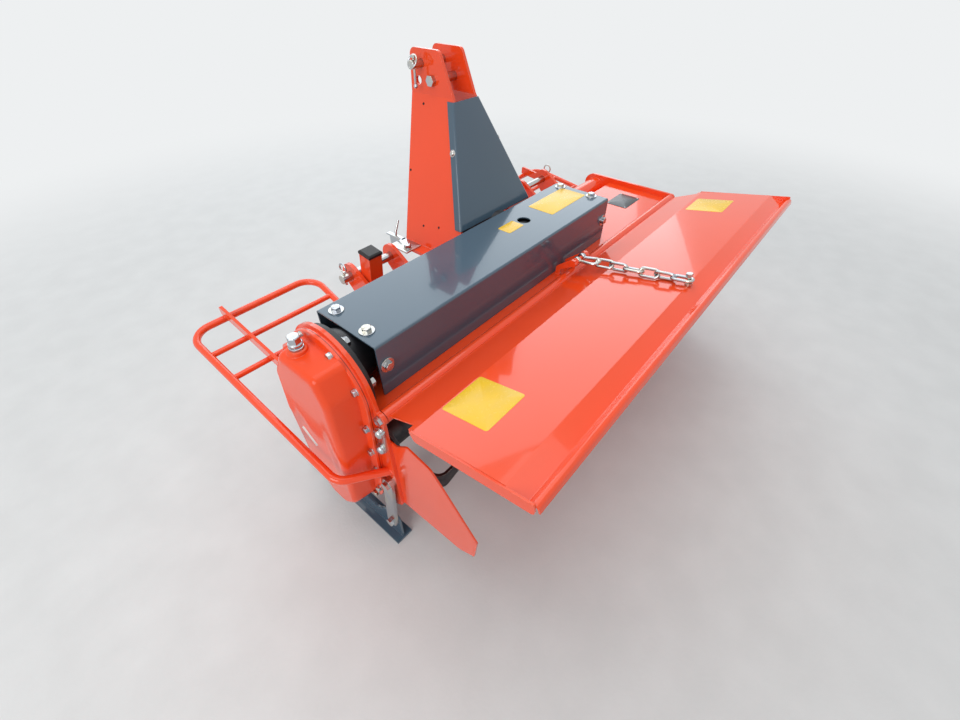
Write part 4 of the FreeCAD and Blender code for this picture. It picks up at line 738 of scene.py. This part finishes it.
def ribbon(points, normals, low, high, half_width):
    """Closed strip of sheet along a line in (y, z): a ring of the line moved by low, then
    back along the line moved by high, carried from minus to plus half_width in x."""
    lower, upper = points + normals * low, points + normals * high
    loop = np.concatenate([lower, upper[::-1]])
    width = np.concatenate([half_width, half_width[::-1]])
    around = skin(np.stack([np.column_stack([side * width, loop]) for side in (-1.0, 1.0)]))
    ends = [skin(np.stack([np.column_stack([x, lower]), np.column_stack([x, upper])]), wrap=False)
            for x in (-half_width, half_width)]
    return joined([around] + ends)


# %% Tailgate sheet
GATE_T, GATE_HALF, GATE_HALF_AT_HINGE, NOTCH_END = 3.0, 637.0, 624.0, 12.0
SLOPE = math.radians(11.5)
along = np.array([-math.cos(SLOPE), math.sin(SLOPE)])
down = np.array([-math.sin(SLOPE), -math.cos(SLOPE)])
hinge, fold = np.array([-119.0, 462.0]), np.array([-212.0, 503.0])
first_run = unit(fold - hinge)
trough = ((0.0, 0.0), (192.0, 0.0), (228.0, 16.0), (245.0, 2.0), (247.0, 18.0))
gate_corners = [hinge + first_run * 13.9] + [fold + along * back + down * deep for back, deep in trough]
gate_points, gate_normals = folded(gate_corners, 5.0)
notch = fold - first_run * NOTCH_END
gate_points = np.insert(gate_points, 1, [notch - first_run * 0.01, notch], axis=0)
gate_normals = np.insert(gate_normals, 1, [gate_normals[0]] * 2, axis=0)
gate_width = np.full(len(gate_points), GATE_HALF)
gate_width[:2] = GATE_HALF_AT_HINGE
add_piece("tailgate_skin", [ribbon(gate_points, gate_normals, -GATE_T, 0.0, gate_width)],
          orange, "tailgate", ["tailgate_panel"], sharp=30.0)


# %% [markdown]
# ## Welds
# Tubes and plates meet in weld beads: a small fillet laid down in overlapping drops. A
# bead is a round bar along the joint whose radius swells and sinks with every drop, half
# of it inside the metal. Painted over, it still breaks the light along each joint.

# %% Weld beads
def bar(path, radius, up=UP, closed=False, count=10):
    """Round bar along a path: circles in the plane square to the path, whose first axis is
    square to up. The radius may change along the path. Open ends close on their middles."""
    path = np.asarray(path, dtype=float)
    steps = (np.roll(path, -1, axis=0) - np.roll(path, 1, axis=0)) if closed else np.gradient(path, axis=0)
    ahead = unit(steps)
    a = unit(np.cross(up, ahead))
    b = np.cross(ahead, a)
    r = np.broadcast_to(np.asarray(radius, dtype=float), len(path))[:, None, None]
    angle = round_angles(count)[None, :, None]
    rings = path[:, None] + r * (np.cos(angle) * a[:, None] + np.sin(angle) * b[:, None])
    if closed:
        rings = np.concatenate([rings, rings[:1]])
    else:
        rings = np.concatenate([rings[:1] * 0 + path[0], rings, rings[:1] * 0 + path[-1]])
    return skin(rings)


def weld(start, end, radius=3.0):
    """Bead from start to end: radius times 1 - 0.22 |cos| of the distance over each drop."""
    start, end = np.array(start), np.array(end)
    length = np.linalg.norm(end - start)
    s = np.linspace(0.0, 1.0, max(6, int(length / 1.3)))
    swell = radius * (1.0 - 0.22 * np.abs(np.cos(np.pi * s * length / 4.2)))
    return bar(start + (end - start) * s[:, None], swell, count=8)


def weld_arc(x, middle, ring_radius, angles, radius=2.6, drops=12.0, closed=True):
    """Bead round a bar, in a plane square to x: radius times 1 - 0.2 |cos| of drops times
    the angle."""
    swell = radius * (1.0 - 0.2 * np.abs(np.cos(angles * drops)))
    return bar(at_x(x, circle_points(middle, ring_radius, angles)), swell, RIGHT, closed, count=8)


# %% Joints of the beam, the guards, the tower, the ears and the chain's bracket
BEAM, GUARD_END = np.array([BEAM_Y, BEAM_Z]), np.array([-112.0, 288.0])
TOWER_HALF_GAP, TOWER_T, TOWER_SPLAY, TOWER_BEND_Z, TOWER_FOOT_Z = 34.0, 8.0, 0.387, 820.0, 487.0
BEAM_WELD_R, EAR_X, BRACKET_X = BEAM_R + 0.5, 341.5, 8.0


def tower_x(z):
    """Half the gap between the tower's plates, plus the splay for each mm below the bend."""
    return TOWER_HALF_GAP + TOWER_SPLAY * max(0.0, TOWER_BEND_Z - z)


once_round, over_beam = round_angles(90), np.linspace(math.radians(-15.0), math.radians(140.0), 70)
welds = []
for side_x in (-1.0, 1.0):
    welds += [weld_arc(side_x * 638.0, BEAM, BEAM_WELD_R, once_round),
              weld_arc(side_x * 638.0, GUARD_END, 9.5, once_round, 2.0),
              weld_arc(side_x * 630.0, BEAM, BEAM_WELD_R, once_round)]
    for x in (tower_x(TOWER_FOOT_Z) + TOWER_T, tower_x(TOWER_FOOT_Z)):
        welds.append(weld((side_x * x, 106.0, TOWER_FOOT_Z), (side_x * x, 312.0, TOWER_FOOT_Z), 3.2))
    for ear in (68.0, 58.0):
        for x in (side_x * EAR_X - ear, side_x * EAR_X + ear):
            welds.append(weld_arc(x, BEAM, BEAM_WELD_R, over_beam, drops=11.0, closed=False))
for x in (BRACKET_X - 18.5, BRACKET_X - 24.5, BRACKET_X + 18.5, BRACKET_X + 24.5):
    welds.append(weld((x, -97.0, 460.0), (x, -84.0, 460.0), 2.4))
add_piece("weld_beads", welds, orange, "frame", sharp=80.0)


# %% [markdown]
# ## Decals and plates, all blank
# The photographed machine has yellow decals on its cover and its tailgate, a dark data
# plate on the hood and a white sticker on the gear case. They are kept as bare films of
# the same size and place, with round corners and a real thickness, so they catch a line
# of light at their edges.

# %% Films and the data plate
def box_corners(x0, x1, y0, y1):
    """Corners of an upright oblong, in turn."""
    return [(x0, y0), (x1, y0), (x1, y1), (x0, y1)]


def laid(shape, origin, across=RIGHT, up=FRONT):
    """A flat shape on the plane through origin that the vectors across and up span: a point
    (a, b, h) goes to origin + a across + b up + h times their cross product."""
    points, faces = shape
    return origin + points @ np.stack([across, up, np.cross(across, up)]), faces


def label(corners, radius, thickness, *plane):
    """Film with round corners and a rounded edge, laid on a plane."""
    return laid(pad(rounded(corners, radius, steps=6), thickness, thickness * 0.6), *plane)


cover_labels = [label(box_corners(*place), 4.0, 0.5, cover_high[2] * UP)
                for place in ((47, 212, -18, 60), (-106, -48, 3, 41))]
add_piece("cover_decals", cover_labels, yellow_film, "frame")

gate_up, gate_back = np.array([0.0, *-down]), np.array([0.0, *-along])
gate_origin = np.array([0.0, *fold]) + gate_up * GATE_T
gate_labels = [label(box_corners(x0, x1, (y0 - fold[0]) / gate_back[1], (y1 - fold[0]) / gate_back[1]),
                     5.0, 0.5, gate_origin, RIGHT, gate_back)
               for x0, x1, y0, y1 in ((-573, -470, -316, -214.5), (466, 570, -324, -223))]
add_piece("tailgate_decals", gate_labels, yellow_film, "tailgate")

sticker = label(box_corners(-25, 25, -9, 9), 2.0, 0.5, np.array([-705.7, 52.0, 339.0]),
                np.array([0.0, -0.75, -0.6614]), np.array([0.0, -0.6614, 0.75]))
add_piece("case_sticker", [sticker], white_film, "frame")

plate = label(box_corners(464, 566, -41, 31), 5.0, 1.0, HOOD_Z * UP)
add_piece("data_plate", [plate], plate_film, "frame")
rivet_places = [(x, y, HOOD_Z + 0.8) for x in (470, 560) for y in (-35, 25)]
add_piece("plate_rivets", [copies(dome(2.6, 1.6), rivet_places, UP)], zinc, "frame")

# %% [markdown]
# ## The chain that holds the tailgate
# A bow shackle hangs on the bracket's bolt, and six links go from it to a bolt on the
# gate. A link is a round bar along a racetrack: two straight runs and two half circles.
# An array modifier would lay all of them the same way, but real links roll, each nearly
# a quarter turn on from the last, so every link's own roll is written in a list. They
# move with the tailgate, as the solid chain does.

# %% Shackle and links
WIRE_R, LINK_W, BOW_R, BOW_REACH, CHAIN_SAG = 3.7, 26.0, 4.1, 55.0, 10.0
bolt_place = at_x(BRACKET_X, circle_points(hinge, 50.0, np.radians([107.0])))[0]
lug_place = np.array([BRACKET_X, -398.3, 557.3])
chain_way = unit(lug_place - bolt_place)
chain_up = np.cross(chain_way, RIGHT)
LINK_ROLLS = np.radians([39.0, 103.0, 167.0, 232.0, 296.0, 360.0])
LINK_PITCH = (np.linalg.norm(lug_place - bolt_place) - BOW_REACH + 2.0 * BOW_R) / len(LINK_ROLLS)


def chain_link(index, roll):
    """Racetrack round the link's middle: along the chain l and across it w, with
    l = +-h + r cos t and w = r sin t on the ends; its middle sinks by a shallow parabola."""
    r = LINK_W / 2.0 - WIRE_R
    h = LINK_PITCH / 2.0 + WIRE_R - r
    t = np.linspace(-np.pi / 2.0, np.pi / 2.0, 13)
    length = np.concatenate([h + r * np.cos(t), -h - r * np.cos(t)])
    width = np.concatenate([r * np.sin(t), -r * np.sin(t)])
    share = (index + 0.5) / len(LINK_ROLLS)
    middle = bolt_place + chain_way * (BOW_REACH - BOW_R + LINK_PITCH * (index + 0.5))
    middle = middle - chain_up * CHAIN_SAG * share * (1.0 - share)
    wide = RIGHT * math.cos(roll) + chain_up * math.sin(roll)
    path = middle + length[:, None] * chain_way + width[:, None] * wide
    return bar(path, WIRE_R, np.cross(chain_way, wide), closed=True, count=12)


t = np.linspace(0.0, np.pi, 21)[1:-1]
leg = np.linspace(0.0, 1.0, 9)
flare = 11.8 + 3.2 * leg ** 2 * (3.0 - 2.0 * leg)
bow_x = np.concatenate([-flare, -15.0 * np.cos(t), flare[::-1]])
bow_y = np.concatenate([6.0 + 34.0 * leg, 40.0 + 15.0 * np.sin(t), 6.0 + 34.0 * leg[::-1]])
bow = bar(bolt_place + bow_x[:, None] * RIGHT + bow_y[:, None] * chain_way, BOW_R, chain_up, count=14)
eye = lathe([(5.4, -4.6), (9.6, -4.6), (10.4, -3.4), (10.4, 3.4), (9.6, 4.6), (5.4, 4.6), (5.4, -4.6)])
links = [chain_link(index, roll) for index, roll in enumerate(LINK_ROLLS)]
add_piece("chain_links", [bow, copies(eye, [bolt_place + 12.0 * RIGHT, bolt_place - 12.0 * RIGHT], RIGHT)]
          + links, zinc, "tailgate", ["tailgate_chain"], sharp=60.0)
print("pitch of the links in mm", round(float(LINK_PITCH), 1))

# %% [markdown]
# ## Small parts on the side plate and the tower
# Behind the gear case an oblong zinc plate with two round-headed bolts takes the end of
# the depth adjustment. It leans with the case's rear wall. The left plate of the tower has
# four small drilled holes, and a round screw on each plate holds the shield.

# %% Side plate's adjusting plate
tilt = unit(np.array([0.0, -7.0, 55.0]))
slot_plate = pad(rounded(box_corners(-40, 40, -11, 11), 10.9, steps=12), 5.0, 1.2)
slot_plate = laid(slot_plate, np.array([-638.0, -113.5, 401.0]), tilt, np.cross(-RIGHT, tilt))
domes = copies(dome(10.5, 8.5, collar=12.0), [(-643.0, -117.0, 428.0), (-643.0, -110.0, 374.0)], -RIGHT)
add_piece("adjuster_plate", [slot_plate, domes], zinc, "frame")


# %% Holes and screws of the tower
def on_tower(y, z, side=-1.0, out=0.0):
    """Place on a plate's outer face, on the left or, with side 1, on the right."""
    return side * (tower_x(z) + TOWER_T + out), y, z


def off_tower(side=-1.0):
    """Way straight out of a splayed plate."""
    return side, 0.0, TOWER_SPLAY


# Each hole is a near-black disc of painted shadow on the plate's face, not a cut.
hole_places = [on_tower(y, z) for y, z in ((259.5, 535), (205, 545), (340, 652), (331, 800))]
hole = lathe([(0, -1), (3.2, -1), (3.2, 0.15), (0, 0.15)])
add_piece("tower_holes", [copies(hole, hole_places, off_tower())], hole_shadow, "frame")
round_screw = dome(6.5, 4.5, collar=8.5)
add_piece("shield_screws", [copies(round_screw, on_tower(203, 716, side, 3.3), off_tower(side))
                            for side in (-1.0, 1.0)], zinc, "frame")


# %% [markdown]
# ## The shield between the tower's plates
# A folded grey sheet closes the rear of the tower and laps round the edge of both plates.
# Its folds are round outside, like all folds in sheet. Each height has one section, a
# line with two rounded corners, and since the plates splay evenly two heights are enough.

# %% Folded shield
BEND_REAR_Y, FOOT_REAR_Y = 236.0, 102.0


def shield_section(z):
    """Both faces of the sheet at a height: it is 1.8 mm wider than the plates on each side,
    and it follows their rear edge, which leans back, so its depth grows by that slope."""
    half = tower_x(z) + TOWER_T + 1.8
    points, normals = folded([(-half, 16.0), (-half, -1.8), (half, -1.8), (half, 16.0)], 4.5)
    slope = (BEND_REAR_Y - FOOT_REAR_Y) / (TOWER_BEND_Z - TOWER_FOOT_Z)
    edge_y = BEND_REAR_Y - slope * (TOWER_BEND_Z - z)
    faces = [points + normals * thick for thick in (1.5, -1.5)]
    return [np.column_stack([face[:, 0], edge_y + face[:, 1] * math.hypot(1.0, slope),
                             np.full(len(face), z)]) for face in faces]


sections = [shield_section(z) for z in (556.0, 815.0)]
loops = np.stack([np.concatenate([outer, inner[::-1]]) for outer, inner in sections])
ends = [skin(np.stack(section), wrap=False) for section in sections]
add_piece("shield_sheet", [skin(loops)] + ends, grey, "frame", ["tower_shield"], sharp=30.0)

# %% [markdown]
# ## Top pin with its clip
# The pin of the upper link is turned from bar with a collar at one end. A spring clip
# goes through the other end. Its leg hangs down and its ring lies against the pin.

# %% Turned pin and clip
PIN, CLIP = np.array([0.0, 338.0, 884.0]), np.array([-64.0, 338.0, 884.0])
pin = lathe([(0, -76), (8.3, -76), (9.5, -74.8), (9.5, 42.3), (14.5, 42.3), (14.5, 49.2),
             (13.7, 50), (9.5, 50), (9.5, 55), (8.5, 56), (0, 56)])
t = round_angles(48)
ring_path = CLIP + np.column_stack([7.0 * np.sin(t) - 5.0, 13.0 * np.cos(t), 13.0 * np.sin(t) + 6.0])
clip_leg = lathe([(0, -42), (2.6, -42), (3, -40), (3, 12), (5.2, 13), (5.2, 19), (4.2, 20), (0, 20)], 20)
knob = lathe([(0, -50), (3, -49.4), (4.8, -47.4), (5.3, -45), (4.8, -42.4), (3, -40.4), (0, -40)], 20)
add_piece("top_pin_turned", [copies(pin, PIN, RIGHT), bar(ring_path, 2.0, RIGHT, closed=True),
                             copies(clip_leg, CLIP, UP), copies(knob, CLIP, UP)],
          zinc, "frame", ["top_link_pin"])


# %% [markdown]
# ## Bracket in front of the tower's left foot
# A light plated angle is bolted on the tower's foot and reaches forwards, with a strap
# that stands up from it to hold the drive shaft when the tractor is away.

# %% Plated angle and strap
def block(low, high, edge=0.8):
    """Plate between two corners: a pad with round upper edges, laid on its lower face."""
    outline = rounded(box_corners(low[0], high[0], low[1], high[1]), 2.0, steps=5)
    return laid(pad(outline, high[2] - low[2], edge), low[2] * UP)


strap = bar([(-182.0, 347.0, 489.0), (-180.0, 348.0, 500.0), (-171.0, 350.0, 514.0),
             (-164.0, 351.0, 528.0)], 3.4, FRONT, count=12)
add_piece("shaft_bracket", [block((-230, 250, 486.8), (-176, 318, 491)),
                            block((-190, 310, 487), (-176, 380, 491)),
                            block((-180, 318.5, 446), (-176, 379, 489)), strap,
                            copies(large_bolt, (-211.0, 266.0, 491.0), UP, 0.3)],
          zinc, "frame")

# %% [markdown]
# ## Camera
# The camera stands where the photographer stood: behind the machine's left end, looking
# down at it through a wide lens. Its place and its three axes were solved from straight
# edges of known length, which is surer than turning it by eye.

# %% Camera
CAMERA_PLACE = (-906.233, -588.858, 1078.632)
camera = in_scene("camera", bpy.data.cameras.new("camera"))
rightward = np.array([0.65000603, -0.75991999, -0.00371053])
below = np.array([-0.51739302, -0.43897109, -0.73458073])
forward = np.array([0.55659376, 0.4794017, -0.67851116])
axes = Matrix(np.column_stack([rightward, -below, -forward]).tolist())
camera.matrix_world = Matrix.Translation(metres(CAMERA_PLACE).tolist()) @ axes.to_4x4()
camera.data.sensor_width, camera.data.lens = 36.0, 16.567
camera.data.clip_start, camera.data.clip_end = 0.02, 200.0
bpy.context.scene.camera = camera
print("camera at", CAMERA_PLACE, "in drawing millimetres")


# %% [markdown]
# ## Lamps
# A square lamp overhead gives the soft shadow of an open sky. A long low one at the front
# right is seen in the gloss of the cover and the raised tailgate, and brightens both. A
# small one at the left lights the near side, which would otherwise be in shade.

# %% Three lamps
def lamp(name, place, power, width, height, colour=(1.0, 1.0, 1.0), target=(0.0, 0.0, 0.35)):
    """Oblong lamp aimed from its place at the target, with its width level."""
    made = in_scene(name, bpy.data.lights.new(name, "AREA"))
    made.data.shape, made.data.color = "RECTANGLE", colour
    made.data.energy, made.data.size, made.data.size_y = power, width, height
    way = np.array(target) - np.array(place)
    level = np.cross(way, UP)
    aim = Matrix(unit(np.stack([level, np.cross(level, way), -way])).T.tolist())
    made.matrix_world = Matrix.Translation(place) @ aim.to_4x4()
    print(name, power, "W")


lamp("sky_lamp", (0.0, 0.5, 3.8), 52.0, 3.6, 3.6)
lamp("sheen_lamp", (3.0, 3.7, 3.0), 107.0, 6.4, 3.2, (0.84, 0.93, 1.0))
lamp("near_lamp", (-4.2, -0.9, 2.4), 74.0, 2.6, 2.6)


# %% [markdown]
# ## Room
# The room lights the machine with a weak cool light from all round. The camera, and what
# gloss reflects, see a plain pale wall instead. A strong white world would give the same
# wall, but it would also wash the paint out.

# %% World
def camera_seen(finish):
    """1 for rays from the camera and for what gloss and glass reflect, 0 for light: the
    sum of three Light Path outputs, held at 1."""
    seen, gloss, glass = [finish.node("LightPath", output=name)
                          for name in ("Is Camera Ray", "Is Glossy Ray", "Is Transmission Ray")]
    return seen.sum("ADD", seen + gloss, glass, clamp=True)


PALE = srgb(238, 240, 241)
room = Finish("pale_room", bpy.data.worlds)
lit = room.node("Background", inputs={"Color": (0.93, 0.96, 1.0, 1.0), "Strength": 0.55})
shown = room.node("Background", inputs={"Color": PALE, "Strength": 1.0})
either = room.node("MixShader", inputs={0: camera_seen(room), 1: lit, 2: shown})
room.node("OutputWorld", inputs={"Surface": either})
bpy.context.scene.world = room.material
print("world", room.material.name)

# %% [markdown]
# ## Floor
# The floor is a wide disc. Near the machine it is a pale matt ground that takes the
# shadow. Further out it passes into the colour of the room, so no horizon shows.

# %% Floor
GROUND_R, GROUND_BLEND = 1.5, 2.2
ground = Finish("pale_floor")
ground_colour = ground.mix(ground.noise(9.0, 6.0).over(0.35, 0.4), srgb(212, 212, 210), srgb(218, 218, 216))
matt = ground.surface(ground_colour, 0.8, ground.bump(ground.noise(120.0, 4.0), 0.0004))
far = ground.node("VectorMath", {"operation": "LENGTH"}, {0: ground.place}, output="Value")
far = far.over(GROUND_R, GROUND_BLEND)
glow = ground.node("Emission", inputs={"Color": PALE, "Strength": 1.0})
share = far * far * (3.0 - far * 2.0) * camera_seen(ground)
blended = ground.node("MixShader", inputs={0: share, 1: matt, 2: glow})
ground.node("OutputMaterial", inputs={"Surface": blended})

rings = [np.column_stack([circle_points((0.0, 0.0), r, round_angles(96)), np.zeros(96)])
         for r in (60.0, 6.0, 0.0)]
floor_points, floor_faces = skin(np.stack(rings))
floor_mesh = bpy.data.meshes.new("floor")
floor_mesh.from_pydata(floor_points.tolist(), [], floor_faces.tolist())
floor_mesh.materials.append(ground.material)
floor = in_scene("floor", floor_mesh)
print("floor", len(floor_faces), "faces")

bpy.context.scene.view_settings.view_transform = "Standard"
